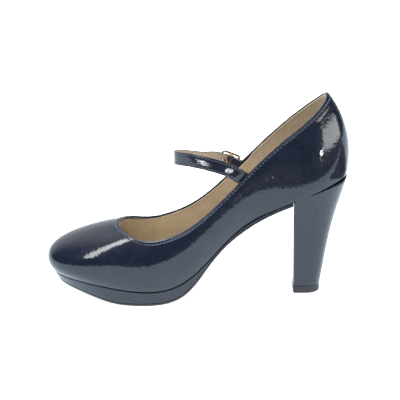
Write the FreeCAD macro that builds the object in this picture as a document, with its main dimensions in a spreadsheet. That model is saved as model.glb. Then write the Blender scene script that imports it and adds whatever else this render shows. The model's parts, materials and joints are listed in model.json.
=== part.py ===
"""High heel platform pump with a buckled instep strap, right shoe, as a parametric FreeCAD assembly.

Millimetres. +Z is up, -X points to the toe, +X to the heel, -Y is the inner (medial) side of the
foot and +Y the outer (lateral) side. The origin is on the ground, under the steel pin of the heel tip.

The upper is one ring-shaped surface. Four closed control rings run round the shoe: the feather
line where the upper meets the sole, two handle rings, and the topline. Across, from feather line
to topline, the surface is one cubic Bezier arch, so it is a bicubic B-spline surface. Every layer
of the shoe wall (leather, stiffener, lining, tape, thread) is that surface moved inwards.
"""
import FreeCAD, Part
import math
import os
import Sketcher
from FreeCAD import Placement, Rotation, Vector

doc = FreeCAD.newDocument("HighHeelPump")

# ---------------------------------------------------------------- driving dimensions
DIMENSIONS = {
    "upper_leather": 1.1,        # thickness of the patent leather
    "layer_gap": 0.1,            # air between two layers of the wall
    "seat_gap": 0.3,             # air between the lasted leather and what is under or on it
    "butt_gap": 0.2,             # air between two pieces of one layer that meet end to end
    "stiffener": 0.7,            # toe puff, counter and tapes
    "lining_leather": 0.7,
    "margin_width": 12.0,        # how far the upper is lasted under the foot
    "filler_gap": 0.4,           # from the edge of that margin to the filler
    "board_gap": 0.3,            # from the lining to the edge of board, foam and sock
    "board": 1.7,
    "foam": 1.8,
    "sock": 0.9,
    "outsole": 1.9,
    "wrap": 1.0,                 # leather round the platform
    "sole_inset": 0.25,          # the outsole's edge, inside that leather
    "platform_end": -10.6,       # where outsole and platform end at the heel breast
    "cover": 0.8,                # leather round the heel
    "tip_height": 6.0,
    "tip_radius": 10.7,          # round back of the top piece
    "tip_breast": -9.0,          # front face of the top piece
    "tip_centre": 0.9,           # centre of its round back
    "heel_corner": 2.0,          # upright corners at the breast
    "pin_radius": 1.5,
    "pin_length": 15.0,
    "screw_radius": 2.0,
    "screw_length": 28.0,
    "screw_head": 4.0,
    "nail_radius": 0.8,
    "nail_length": 17.0,
    "nail_head": 1.7,
    "nail_circle": 8.5,
    "shank_width": 12.0,
    "shank_sheet": 1.1,
    "rivet_radius": 1.6,
    "strap_width": 10.4,
    "strap_leather": 1.0,
    "strap_lining": 0.65,
    "bead": 0.3,                 # height of a thread row above the leather
    "frame_length": 15.5,
    "frame_width": 14.8,
    "frame_bar": 1.7,
    "frame_sheet": 1.6,
    "frame_corner": 2.2,
    "bar_radius": 0.9,
    "bar_drop": 2.55,            # centre bar below the middle of the frame
    "prong_radius": 0.6,
    "prong_play": 0.2,           # between the prong's ring and the bar
    "tab_leather": 0.75,
    "tab_width": 9.6,
}

sheet = doc.addObject("Spreadsheet::Sheet", "Dimensions")
for row, (alias, number) in enumerate(DIMENSIONS.items(), start=1):
    sheet.set("A%d" % row, alias)
    sheet.set("B%d" % row, str(number))
    sheet.setAlias("B%d" % row, alias)
doc.recompute()


def size(alias):
    """A driving dimension, read from the sheet."""
    return float(sheet.get(alias))


def bind(item, prop, expression):
    """Ties a property to cells of the sheet; words in {} are aliases."""
    aliases = {alias: "Dimensions." + alias for alias in DIMENSIONS}
    item.setExpression(prop, expression.format(**aliases))


# ---------------------------------------------------------------- curves through chosen points
def natural_spline(knots):
    """The natural cubic spline through (x, value) knots, as a function of x; straight beyond its ends."""
    xs = [x for x, _ in knots]
    ys = [y for _, y in knots]
    count = len(xs)
    gap = [xs[i + 1] - xs[i] for i in range(count - 1)]
    diagonal = [1.0] * count
    right = [0.0] * count
    for i in range(1, count - 1):
        slope_change = (ys[i + 1] - ys[i]) / gap[i] - (ys[i] - ys[i - 1]) / gap[i - 1]
        factor = gap[i - 1] / diagonal[i - 1] if i > 1 else 0.0
        diagonal[i] = 2 * (gap[i - 1] + gap[i]) - factor * gap[i - 1]
        right[i] = 6 * slope_change - factor * right[i - 1]
    bend = [0.0] * count
    for i in range(count - 2, 0, -1):
        bend[i] = (right[i] - gap[i] * bend[i + 1]) / diagonal[i]

    def value(x):
        if x < xs[0]:
            slope = (ys[1] - ys[0]) / gap[0] - gap[0] * (2 * bend[0] + bend[1]) / 6
            return ys[0] + slope * (x - xs[0])
        if x > xs[-1]:
            slope = (ys[-1] - ys[-2]) / gap[-1] + gap[-1] * (bend[-2] + 2 * bend[-1]) / 6
            return ys[-1] + slope * (x - xs[-1])
        i = max(k for k in range(count - 1) if xs[k] <= x)
        after, before = xs[i + 1] - x, x - xs[i]
        return ((bend[i] * after ** 3 + bend[i + 1] * before ** 3) / (6 * gap[i])
                + (ys[i] / gap[i] - bend[i] * gap[i] / 6) * after
                + (ys[i + 1] / gap[i] - bend[i + 1] * gap[i] / 6) * before)
    return value


# Heights along the shoe: the seat line, where upper and sole meet, and the outsole's underside.
seat = natural_spline([(-193, 20.5), (-165, 17.6), (-135, 12.8), (-112, 11.9), (-92, 18), (-72, 35.5),
                       (-50, 57.2), (-25, 72), (0, 83.2), (15, 88.8), (30.5, 93.8)])
tread = natural_spline([(-193, 12.8), (-176, 9.0), (-161.5, 4.9), (-147, 1.3), (-134, 0.15), (-123, 0),
                        (-112, 0.3), (-101, 2.4), (-92, 7.0), (-84, 14.9), (-75, 26.7), (-64, 39.9), (-48, 53.9),
                        (-24, 69), (-8, 76.5)])

# ---------------------------------------------------------------- the rings of the upper
# Stations from toe to heel back, medial and lateral (x, y); toe and heel back have one point.
FEATHER = [((-195, -4),), ((-188.8, -20.5), (-187.8, 14)), ((-168, -33), (-165, 28)),
           ((-142, -37.5), (-138, 36)), ((-114, -36.5), (-108, 39.5)), ((-87, -29.5), (-80, 34)),
           ((-60, -22), (-56, 27.5)), ((-34, -20.5), (-32, 25)), ((-10, -22.5), (-9, 24)),
           ((16, -18.5), (16, 18.5)), ((30.3, 0),)]
TOPLINE = [((-143.3, -1, 54.9),), ((-140, -12.3, 53), (-139.5, 11.5, 54.8)),
           ((-131.5, -22.2, 50.6), (-131.8, 21.5, 52)), ((-119, -27, 49.6), (-119, 26.8, 50.2)),
           ((-102, -28.3, 54.4), (-102, 28.5, 54.2)), ((-83, -27, 65), (-83, 27.2, 64.4)),
           ((-61, -24, 85.5), (-61, 24.6, 84.6)), ((-38, -22, 109.5), (-38, 21.8, 109.2)),
           ((-14, -19.8, 131.2), (-14, 19, 133)), ((7, -13, 148.4), (7, 12.4, 151.6)),
           ((15, 0, 158.8),)]
# Bezier handles of each station: along x, outwards in y, and up as a share of the wall's height.
LOWER_HANDLE = [(-16, 0, 0.61), (-13.5, 10, 0.58), (-9, 11, 0.52), (-4, 9, 0.50), (-1, 7, 0.42), (0, 5, 0.36),
                (0, 4.5, 0.33), (0, 4, 0.33), (1, 4, 0.33), (3, 5, 0.33), (4.6, 0, 0.33)]
UPPER_HANDLE = [(-30, 0, -0.18), (-24.5, 3, -0.14), (-15, 10, -0.10), (-6, 9, -0.25), (-2, 7, -0.33),
                (0, 5, -0.33), (0, 4.5, -0.33), (0, 4, -0.33), (2, 4, -0.33), (8.2, 5, -0.32), (15.8, 0, -0.3)]
COARSE_STATIONS = 2 * len(FEATHER) - 2
STATIONS = 2 * COARSE_STATIONS
RELAXATIONS = 60                 # rounds that bring a ring's poles to rest


def control_rings():
    """Feather, lower handle, upper handle and topline rings: points at the stations, medial side first."""
    medial, lateral = [], []
    for feather, topline, low, high in zip(FEATHER, TOPLINE, LOWER_HANDLE, UPPER_HANDLE):
        for side, wall, outwards in ((0, medial, -1), (-1, lateral, 1)):
            foot = Vector(feather[side][0], feather[side][1], seat(feather[side][0]))
            top = Vector(*topline[side])
            height = top.z - foot.z
            wall.append((foot, foot + Vector(low[0], outwards * low[1], low[2] * height),
                         top + Vector(high[0], outwards * high[1], high[2] * height), top))
    around = medial + lateral[-2:0:-1]
    return [list(ring) for ring in zip(*around)]


def ring_poles(points):
    """Poles of the closed uniform cubic B-spline that passes through the points."""
    count = len(points)
    poles = [Vector(p) for p in points]
    for _ in range(RELAXATIONS):
        for i in range(count):
            poles[i] = (points[i] * 6 - poles[i - 1] - poles[(i + 1) % count]) * 0.25
    return poles


def ring_point(poles, t):
    """Point of that B-spline at t, counted in stations."""
    i = math.floor(t)
    f = t - i
    weights = ((1 - f) ** 3 / 6, (3 * f ** 3 - 6 * f ** 2 + 4) / 6,
               (-3 * f ** 3 + 3 * f ** 2 + 3 * f + 1) / 6, f ** 3 / 6)
    point = Vector()
    for k, weight in enumerate(weights):
        point += poles[(i - 1 + k) % len(poles)] * weight
    return point


def fine_rings():
    """The control rings with a station halfway between each two, and the feather line exactly on the seat."""
    coarse = [ring_poles(ring) for ring in control_rings()]
    rings = [[ring_point(poles, i * COARSE_STATIONS / STATIONS) for i in range(STATIONS)] for poles in coarse]
    rings[0] = [Vector(p.x, p.y, seat(p.x)) for p in rings[0]]
    return rings


WALL = [ring_poles(ring) for ring in fine_rings()]
STEP = 1e-3                      # for slopes, in stations and in v


def wall_point(t, v):
    """Point of the outer surface: t round the shoe, v from 0 at the feather line to 1 at the topline."""
    weights = ((1 - v) ** 3, 3 * v * (1 - v) ** 2, 3 * v * v * (1 - v), v ** 3)
    point = Vector()
    for ring, weight in zip(WALL, weights):
        point += ring_point(ring, t) * weight
    return point


def wall_inwards(t, v):
    """Unit normal of the outer surface, pointing at the foot."""
    around = wall_point(t + STEP, v) - wall_point(t - STEP, v)
    up = wall_point(t, min(1, v + STEP)) - wall_point(t, max(0, v - STEP))
    return up.cross(around).normalize()


def layer_rings(depth, low=0.0, high=1.0, level=None):
    """The wall between v = low and high, moved inwards by depth, as four rings of poles.

    level sets its lower edge at a height above the seat, for layers that stand on another one.
    """
    rows = []
    for share in (0, 1 / 3, 2 / 3, 1):
        v = low + (high - low) * share
        rows.append([wall_point(t, v) + wall_inwards(t, v) * depth for t in range(STATIONS)])
    if level is not None:
        rows[0] = [Vector(p.x, p.y, seat(p.x) + level) for p in rows[0]]
    first, third, two_thirds, last = rows
    handle_a, handle_b = [], []
    for a, b, c, d in zip(first, third, two_thirds, last):
        handle_a.append((a * -5 + b * 18 - c * 9 + d * 2) * (1 / 6))
        handle_b.append((a * 2 - b * 9 + c * 18 - d * 5) * (1 / 6))
    return [ring_poles(ring) for ring in (first, handle_a, handle_b, last)]


def plan_inset(t, distance):
    """Point of the feather line moved inwards in plan, at height 0."""
    along = ring_point(WALL[0], t + STEP) - ring_point(WALL[0], t - STEP)
    inwards = Vector(-along.y, along.x, 0).normalize()
    point = ring_point(WALL[0], t) + inwards * distance
    return Vector(point.x, point.y, 0)


def ring_faces(rings):
    """Medial and lateral face through rings of poles: cubic B-spline round the shoe, Bezier across."""
    degree = len(rings) - 1
    poles = [[ring[i - 1] for ring in rings] for i in range(STATIONS)]
    surface = Part.BSplineSurface()
    surface.buildFromPolesMultsKnots(poles, [1] * (STATIONS + 1), [degree + 1] * 2,
                                     list(range(STATIONS + 1)), [0, 1], True, False, 3, degree)
    surface.setUNotPeriodic()
    halves = []
    for start, end in ((0, STATIONS // 2), (STATIONS // 2, STATIONS)):
        half = surface.copy()
        half.segment(start, end, 0, 1)
        halves.append(half.toShape())
    return halves


def closed_solid(faces):
    """One solid from faces that share their edges."""
    shell = Part.makeShell(faces)
    shell.sewShape()
    solid = Part.Solid(shell.Shells[0])
    solid.fix(1e-5, 1e-5, 1e-5)
    if solid.Volume < 0:
        solid.reverse()
    return solid


def wall_layer(outer_depth, inner_depth, low=0.0, high=1.0):
    """A closed ring-shaped layer of the wall."""
    outer = layer_rings(outer_depth, low, high)
    inner = layer_rings(inner_depth, low, high)
    return closed_solid(ring_faces(outer) + ring_faces([outer[3], inner[3]])
                        + ring_faces(inner[::-1]) + ring_faces([inner[0], outer[0]]))


def lasted_layer(outer_depth, inner_depth, level, high=1.0):
    """A layer of the wall whose lower edge turns under the foot: the lasting margin."""
    sheet_thickness = inner_depth - outer_depth
    outer = layer_rings(outer_depth, 0, high, level)
    inner = layer_rings(inner_depth, 0, high, level + sheet_thickness)
    margin_top, margin_bottom = [], []
    for t in range(STATIONS):
        edge = plan_inset(t, size("margin_width"))
        bottom = seat(edge.x) + level
        margin_bottom.append(Vector(edge.x, edge.y, bottom))
        margin_top.append(Vector(edge.x, edge.y, bottom + sheet_thickness))
    margin_top, margin_bottom = ring_poles(margin_top), ring_poles(margin_bottom)
    return closed_solid(ring_faces(outer) + ring_faces([outer[3], inner[3]]) + ring_faces(inner[::-1])
                        + ring_faces([inner[0], margin_top]) + ring_faces([margin_top, margin_bottom])
                        + ring_faces([margin_bottom, outer[0]]))


# ---------------------------------------------------------------- document helpers
NODES = []


def node(item, label):
    """Marks an object of the document as a sub-part that is written to parts/LABEL.step."""
    item.Label = label
    NODES.append(item)
    return item


def feature(name, shape):
    """A Part::Feature that holds a free-form shape."""
    item = doc.addObject("Part::Feature", name)
    item.Shape = shape
    return item


def cut(name, base, tool):
    item = doc.addObject("Part::Cut", name)
    item.Base, item.Tool = base, tool
    return item


def common(name, base, tool):
    item = doc.addObject("Part::Common", name)
    item.Base, item.Tool = base, tool
    return item


def group(name, parts):
    item = doc.addObject("Part::Compound", name)
    item.Links = parts
    return item


def fuse(name, parts):
    item = doc.addObject("Part::MultiFuse", name)
    item.Shapes = parts
    return item


def block(name, low, high):
    """A Part::Box from its lowest to its highest corner."""
    item = doc.addObject("Part::Box", name)
    item.Length, item.Width, item.Height = (b - a for a, b in zip(low, high))
    item.Placement.Base = Vector(*low)
    return item


def rod(name, radius, height, place):
    """A Part::Cylinder with its radius and height tied to the sheet."""
    item = doc.addObject("Part::Cylinder", name)
    bind(item, "Radius", radius)
    bind(item, "Height", height)
    item.Placement = place
    return item


def headed_pin(name, radius, head_radius, length, place):
    """A screw or nail: a cylinder with a countersunk head; place is the centre of its head, -Z its way in."""
    downwards = Placement(Vector(), Rotation(Vector(1, 0, 0), 180))
    shaft = rod(name + "_shaft", radius, length, place.multiply(downwards))
    head = doc.addObject("Part::Cone", name + "_head")
    bind(head, "Radius1", radius)
    bind(head, "Radius2", head_radius)
    bind(head, "Height", head_radius + " - " + radius)
    depth = float(head.Height)
    head.Placement = place.multiply(Placement(Vector(0, 0, -depth), Rotation()))
    return fuse(name, [shaft, head])


# ---------------------------------------------------------------- the wall of the shoe
upper_in = size("upper_leather")
cavity_out = upper_in + size("layer_gap")
cavity_in = cavity_out + size("stiffener")
lining_out = cavity_in + size("layer_gap")
lining_in = lining_out + size("lining_leather")
lining_level = upper_in + size("layer_gap")
ROOM = 120.0                     # half-width of cutting boxes, larger than the shoe
LINING_SEAM = -32.0              # where vamp and quarter lining meet
butt = size("butt_gap")

# Pieces of the wall: shares of its height, and where along the shoe they begin or end.
TAPE_SPAN = (0.93, 0.985)
THREAD_SPAN = (0.962, 0.970)
PUFF_SPAN = (0.26, 0.86)
PUFF_END = -150.0
COUNTER_SPAN = (0.12, 0.72)
COUNTER_START = -28.0
STAY_SPAN = (0.74, 0.91)
STAY_HALF_WIDTH = 6.0
ANCHOR_SPAN = (0.76, 0.985)
ROOT_START, ROOT_END = -57.0, -44.5     # strap and buckle tab are sewn in between these
ROOT_LOW, ROOT_HIGH = 80.0, 112.0


def part_of_wall(name, whole, x_range, y_range=(-ROOM, ROOM)):
    """The stretch of a wall layer inside a box."""
    box = block(name + "_range", (x_range[0], y_range[0], -ROOM), (x_range[1], y_range[1], 2 * ROOM))
    return common(name, whole, box)


node(feature("Upper", lasted_layer(0, upper_in, 0)), "upper")

tape_ring = feature("TapeRing", wall_layer(cavity_out, cavity_in, *TAPE_SPAN))
root_slots = block("RootSlots", (ROOT_START, -ROOM, ROOT_LOW), (ROOT_END, ROOM, ROOT_HIGH))
node(cut("ToplineTape", tape_ring, root_slots), "topline_tape")

puff_ring = feature("PuffRing", wall_layer(cavity_out, cavity_in - size("layer_gap"), *PUFF_SPAN))
node(part_of_wall("ToePuff", puff_ring, (-2 * ROOM, PUFF_END)), "toe_puff")
counter_ring = feature("CounterRing", wall_layer(cavity_out, cavity_in, *COUNTER_SPAN))
node(part_of_wall("HeelCounter", counter_ring, (COUNTER_START, ROOM)), "heel_counter")
stay_ring = feature("StayRing", wall_layer(cavity_out, cavity_in, *STAY_SPAN))
node(part_of_wall("BackSeamTape", stay_ring, (0, ROOM), (-STAY_HALF_WIDTH, STAY_HALF_WIDTH)),
     "back_seam_tape")

lining_ring = feature("LiningRing", lasted_layer(lining_out, lining_in, lining_level, TAPE_SPAN[1]))
node(part_of_wall("VampLining", lining_ring, (-2 * ROOM, LINING_SEAM - butt)), "vamp_lining")
node(part_of_wall("QuarterLining", lining_ring, (LINING_SEAM + butt, ROOM)), "quarter_lining")

SUNK = 0.02                      # thread and lining stop this far short of the face they lie on
node(feature("ToplineThread", wall_layer(-size("bead"), -SUNK, *THREAD_SPAN)), "topline_thread")

anchor_ring = feature("AnchorRing", wall_layer(cavity_out, cavity_in, *ANCHOR_SPAN))
root_range = (ROOT_START + butt, ROOT_END - butt)
node(part_of_wall("StrapAnchor", anchor_ring, root_range, (-ROOM, 0)), "strap_anchor")
node(part_of_wall("TabAnchor", anchor_ring, root_range, (0, ROOM)), "tab_anchor")

# ---------------------------------------------------------------- sole, board and sock
# How far the sides lean, in millimetres outwards per millimetre up.
sole_lean = natural_spline([(-193, 0.5), (-175, 0.42), (-150, 0.2), (-120, 0.05), (-90, 0.02), (-70, 0),
                            (-30, 0), (30, 0)])
PRISM_BOTTOM, PRISM_TOP = -10.0, 115.0
PROFILE_POINTS = 25


def upright(x):
    """The lean of sides that don't lean."""
    return 0.0


def plan_prism(inset, lean=upright):
    """Upright block of the foot's plan outline, set in from the feather line, with leaning sides."""
    rings = []
    for level in (PRISM_BOTTOM, PRISM_TOP):
        points = []
        for t in range(STATIONS):
            foot = ring_point(WALL[0], t)
            edge = plan_inset(t, inset - lean(foot.x) * (level - foot.z))
            points.append(Vector(edge.x, edge.y, level))
        rings.append(ring_poles(points))
    sides = ring_faces(rings)
    rims = {PRISM_BOTTOM: [], PRISM_TOP: []}
    for edge in sides[0].Edges + sides[1].Edges:
        if edge.BoundBox.ZLength < 1e-6:
            rims[round(edge.BoundBox.ZMin, 3)].append(edge)
    caps = [Part.Face(Part.Wire(Part.__sortEdges__(edges))) for edges in rims.values()]
    return closed_solid(sides + caps)


def profile_band(lower, upper, start, end):
    """Slab across the shoe between two height functions, from x = start to x = end."""
    xs = [start + (end - start) * i / (PROFILE_POINTS - 1) for i in range(PROFILE_POINTS)]
    edges = []
    for height in (lower, upper):
        curve = Part.BSplineCurve()
        curve.interpolate([Vector(x, -ROOM, height(x)) for x in xs])
        edges.append(curve.toShape())
    for x in (start, end):
        edges.append(Part.makeLine(Vector(x, -ROOM, lower(x)), Vector(x, -ROOM, upper(x))))
    outline = Part.Wire(Part.__sortEdges__(edges))
    return Part.Face(outline).extrude(Vector(0, 2 * ROOM, 0))


def above_seat(level):
    return lambda x: seat(x) + level


def above_tread(level):
    return lambda x: tread(x) + level


def slab(name, prism, lower, upper, start, end):
    """The part of a prism between two height functions."""
    return common(name, prism, feature(name + "_band", profile_band(lower, upper, start, end)))


fit = size("layer_gap")
seat_gap = size("seat_gap")
board_low = lining_level + size("lining_leather") + seat_gap
board_high = board_low + size("board")
foam_high = board_high + fit + size("foam")
sock_high = foam_high + fit + size("sock")
TOE, HEEL_BACK = -205.0, 40.0    # past both ends of the shoe
FILLER_START, FILLER_END = -182.0, -94.0

margin_prism = feature("MarginPrism", plan_prism(size("margin_width") + size("filler_gap")))
node(slab("ForefootFiller", margin_prism, above_seat(fit), above_seat(board_low - fit),
          FILLER_START, FILLER_END), "forefoot_filler")

board_prism = feature("BoardPrism", plan_prism(lining_in + size("board_gap")))
insole_blank = slab("InsoleBlank", board_prism, above_seat(board_low), above_seat(board_high), TOE, HEEL_BACK)
node(slab("SockFoam", board_prism, above_seat(board_high + fit), above_seat(foam_high), TOE, HEEL_BACK),
     "sock_foam")
node(slab("SockLining", board_prism, above_seat(foam_high + fit), above_seat(sock_high), TOE, HEEL_BACK),
     "sock_lining")

platform_end = size("platform_end")
platform_low, platform_high = above_tread(size("outsole") + fit), above_seat(-seat_gap)
core_prism = feature("CorePrism", plan_prism(size("wrap") + 0.5 * fit, sole_lean))
node(slab("PlatformCore", core_prism, platform_low, platform_high, TOE, platform_end), "platform_core")
skin_prism = feature("SkinPrism", plan_prism(0.0, sole_lean))
hollow_prism = feature("HollowPrism", plan_prism(size("wrap"), sole_lean))
platform_skin = slab("PlatformSkin", skin_prism, platform_low, platform_high, TOE, platform_end)
node(cut("PlatformWrap", platform_skin, hollow_prism), "platform_wrap")
sole_prism = feature("SolePrism", plan_prism(size("sole_inset"), sole_lean))
node(slab("Outsole", sole_prism, tread, above_tread(size("outsole")), TOE, platform_end), "outsole")

# ---------------------------------------------------------------- heel
heel_breast = natural_spline([(0, -9.0), (30, -9.3), (60, -9.8), (100, -10.5)])
heel_back = natural_spline([(0, 11.5), (6, 12.1), (16, 13.6), (27, 15.3), (45, 18.4), (63, 22.5), (76, 26.3),
                            (88, 29.8), (100, 32.4)])
heel_half = natural_spline([(0, 10.7), (6, 10.75), (27, 11.8), (45, 13.4), (63, 16), (76, 19.2), (88, 23),
                            (100, 27)])
HEEL_LEVELS = (5.9, 18, 32, 46, 60, 74, 86, 98)
HEEL_START, HEEL_END = -20.0, 36.0      # past the heel's breast and back
LEAST_CORNER = 0.8


def heel_section(level, inset):
    """D-shaped wire: straight breast, rounded corners, straight sides and an elliptical back."""
    breast = heel_breast(level) + inset
    back = heel_back(level) - inset
    half = heel_half(level) - inset
    corner = max(LEAST_CORNER, size("heel_corner") - inset)
    middle = back - max(half, 1.5 * half - 5.3)      # round at the tip, a long ellipse at the seat
    bend = corner * math.cos(math.pi / 4)
    edges = [Part.makeLine(Vector(breast, -half + corner, level), Vector(breast, half - corner, level))]
    edges.append(Part.Arc(Vector(breast, half - corner, level),
                          Vector(breast + corner - bend, half - corner + bend, level),
                          Vector(breast + corner, half, level)).toShape())
    edges.append(Part.makeLine(Vector(breast + corner, half, level), Vector(middle, half, level)))
    ellipse = Part.Ellipse(Vector(back, 0, level), Vector(middle, half, level), Vector(middle, 0, level))
    quarter = Part.ArcOfEllipse(ellipse, 0, math.pi / 2)
    edges.append(quarter.toShape())
    for edge in [edge.copy() for edge in edges[1:]]:
        edges.append(edge.mirror(Vector(), Vector(0, 1, 0)))
    return Part.Wire(Part.__sortEdges__(edges))


def heel_loft(inset):
    return Part.makeLoft([heel_section(level, inset) for level in HEEL_LEVELS], True, False)


tip_top = size("tip_height") + fit
heel_range = feature("HeelRange",
                     profile_band(lambda x: tip_top, above_seat(-seat_gap), HEEL_START, HEEL_END))
heel_skin = common("HeelSkin", feature("HeelOuter", heel_loft(0.0)), heel_range)
heel_inner = feature("HeelInner", heel_loft(size("cover")))
node(cut("HeelCover", heel_skin, heel_inner), "heel_cover")
heel_core = common("HeelCore", feature("HeelFill", heel_loft(size("cover") + fit)), heel_range)


def body_sketch(body, name, plane, geometry):
    """A sketch on one of a body's origin planes."""
    sketch = body.newObject("Sketcher::SketchObject", name)
    planes = {item.Role: item for item in body.Origin.OriginFeatures}
    sketch.AttachmentSupport = [(planes[plane], "")]
    sketch.MapMode = "FlatFace"
    sketch.addGeometry(geometry)
    return sketch


def pad(body, name, sketch, length, midplane=False, reverse=False):
    item = body.newObject("PartDesign::Pad", name)
    item.Profile = sketch
    bind(item, "Length", length)
    item.SideType = "Symmetric" if midplane else "One side"
    item.Reversed = reverse
    return item


def round_edges(body, name, padded, wanted, radius):
    """Fillets those upright edges of a pad that wanted(edge) picks."""
    item = body.newObject("PartDesign::Fillet", name)
    item.Base = (padded, ["Edge%d" % (i + 1) for i, edge in enumerate(padded.Shape.Edges)
                          if edge.BoundBox.ZLength > 1 and wanted(edge)])
    bind(item, "Radius", radius)
    return item


# The top piece: a rubber pad under the heel with a D outline, padded from a sketch.
tip = doc.addObject("PartDesign::Body", "TopPieceBody")
radius, breast_x, centre_x = size("tip_radius"), size("tip_breast"), size("tip_centre")
tip_sketch = body_sketch(tip, "TopPieceOutline", "XY_Plane", [
    Part.LineSegment(Vector(breast_x, -radius, 0), Vector(breast_x, radius, 0)),
    Part.LineSegment(Vector(breast_x, radius, 0), Vector(centre_x, radius, 0)),
    Part.ArcOfCircle(Part.Circle(Vector(centre_x, 0, 0), Vector(0, 0, 1), radius), -math.pi / 2, math.pi / 2),
    Part.LineSegment(Vector(centre_x, -radius, 0), Vector(breast_x, -radius, 0))])
END, START, CENTRE = 2, 1, 3
tip_sketch.addConstraint([
    Sketcher.Constraint("Coincident", 0, END, 1, START),
    Sketcher.Constraint("Tangent", 1, END, 2, END),
    Sketcher.Constraint("Tangent", 2, START, 3, START),
    Sketcher.Constraint("Coincident", 3, END, 0, START),
    Sketcher.Constraint("Vertical", 0),
    Sketcher.Constraint("Horizontal", 1),
    Sketcher.Constraint("Radius", 2, radius),
    Sketcher.Constraint("DistanceX", -1, START, 0, START, breast_x),
    Sketcher.Constraint("DistanceX", -1, START, 2, CENTRE, centre_x),
    Sketcher.Constraint("PointOnObject", 2, CENTRE, -1)])
RADIUS_CONSTRAINT = "Constraints[6]"
bind(tip_sketch, RADIUS_CONSTRAINT, "{tip_radius}")
tip_pad = pad(tip, "TopPiecePad", tip_sketch, "{tip_height}")
doc.recompute()
tip.Tip = round_edges(tip, "TopPieceCorners", tip_pad, lambda edge: edge.CenterOfMass.x < breast_x + 0.1,
                      "{heel_corner}")

# The steel pin that holds the top piece, and the screw and nails that hold the heel.
PIN_BASE = 2.5                   # height of its lower end
pin = node(rod("TopPiecePin", "{pin_radius}", "{pin_length}", Placement(Vector(0, 0, PIN_BASE), Rotation())),
           "top_piece_pin")
pin_bore = rod("PinBore", "{pin_radius} + {layer_gap}", "{pin_length} + {layer_gap}",
               Placement(Vector(0, 0, PIN_BASE - 0.5 * fit), Rotation()))
node(cut("TopPiece", tip, pin_bore), "top_piece")

SCREW_X = 6.0
NAIL_ANGLES = (30, 100, 150, 210, 260, 330)


def sunk_in_board(x, y, head_radius):
    """Where a vertical screw or nail sits, so that its head stays below the sloping board."""
    slope = seat(x + 0.5) - seat(x - 0.5)
    return Placement(Vector(x, y, seat(x) + board_high - slope * head_radius - fit), Rotation())


screw_place = sunk_in_board(SCREW_X, 0, size("screw_head"))
screw = node(headed_pin("HeelScrew", "{screw_radius}", "{screw_head}", "{screw_length}", screw_place),
             "heel_screw")
mouths = [rod("ScrewMouth", "{screw_head}", "{board} * 3", screw_place)]
nails = []
for index, angle in enumerate(NAIL_ANGLES):
    x = SCREW_X + size("nail_circle") * math.cos(math.radians(angle))
    y = size("nail_circle") * math.sin(math.radians(angle))
    nail_place = sunk_in_board(x, y, size("nail_head"))
    name = "HeelNail%d" % index
    nails.append(headed_pin(name, "{nail_radius}", "{nail_head}", "{nail_length}", nail_place))
    mouths.append(rod(name + "_mouth", "{nail_head}", "{board} * 3", nail_place))
nail_set = node(group("HeelNails", nails), "heel_nails")

node(cut("HeelBlock", heel_core, group("HeelBores", [pin_bore, screw, nail_set])), "heel_block")

# ---------------------------------------------------------------- shank and its rivets
SHANK_START, SHANK_END = -88.0, -4.5
RIVET_PLACES = (-80.0, -14.0)
RIVET_SINK = 0.4                 # rivet heads below the board's face
shank_low = fit
shank_high = shank_low + size("shank_sheet")
shank_plan = block("ShankPlan", (SHANK_START, -0.5 * size("shank_width"), -ROOM),
                   (SHANK_END, 0.5 * size("shank_width"), ROOM))
bind(shank_plan, "Width", "{shank_width}")
shank_blank = slab("ShankBlank", shank_plan, above_seat(shank_low), above_seat(shank_high),
                   SHANK_START, SHANK_END)
rivets = []
for index, x in enumerate(RIVET_PLACES):
    slope = math.degrees(math.atan(seat(x + 0.5) - seat(x - 0.5)))
    turn = Rotation(Vector(0, 1, 0), -slope)
    base = Placement(Vector(x, 0, seat(x) + shank_low), turn)
    reach = (board_high - RIVET_SINK) * math.cos(math.radians(slope))
    rivets.append(rod("Rivet%d" % index, "{rivet_radius}", "%f" % reach, base))
rivet_set = node(group("ShankRivets", rivets), "shank_rivets")
node(cut("Shank", shank_blank, rivet_set), "shank")
board_bores = group("BoardBores", [rivet_set, screw, nail_set] + mouths)
node(cut("InsoleBoard", insole_blank, board_bores), "insole_board")

# ---------------------------------------------------------------- strap
# The buckle's own axes: forward along the strap, across it (the bar's direction), and outwards.
BUCKLE = Vector(-59, 28.3, 94.8)
STRAP_TILT = math.radians(21)
forward = Vector(-math.cos(STRAP_TILT), 0, math.sin(STRAP_TILT))
across = Vector(math.sin(STRAP_TILT), 0, math.cos(STRAP_TILT))
outwards = Vector(0, 1, 0)
buckle_turn = Rotation(forward, across, outwards, "XZY")


def at_buckle(back, out, side=0.0):
    """Point given in the buckle's axes: towards the strap's free end, outwards, and across."""
    return BUCKLE - forward * back + outwards * out + across * side


# The strap's middle line, at the joint of leather and lining, with the lean of its width.
HINGE = Vector(-49.7, -22.9, 98.3)
STRAP_PATH = [((-49.7, -21.9, 98.3), 0.50), ((-54.0, -22.2, 101.6), 0.47), ((-59.5, -22.3, 104.7), 0.40),
              ((-69.0, -20.9, 107.6), 0.25), ((-81.0, -16.8, 109.4), 0.10), ((-91.0, -11.0, 109.4), 0.0),
              ((-98.0, -4.2, 108.2), 0.0), ((-100.0, 2.0, 107.2), 0.0), ((-97.8, 7.6, 105.8), 0.03),
              ((-90.6, 13.3, 103.6), 0.10), ((-80.0, 19.0, 100.7), 0.25)]
STRAP_PATH = [(Vector(*place), lean) for place, lean in STRAP_PATH]
BUCKLE_LEAN = math.tan(STRAP_TILT)
STRAP_WEAVE = [(-12.5, -4.4), (-7.0, -2.3), (-3.4, -0.6), (0, 0.75), (3.4, -0.6), (7.0, -2.3), (13.0, -1.3),
               (17.0, -0.7), (21.0, -0.2)]
for back, out in STRAP_WEAVE:
    STRAP_PATH.append((at_buckle(back, out), BUCKLE_LEAN))


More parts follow.
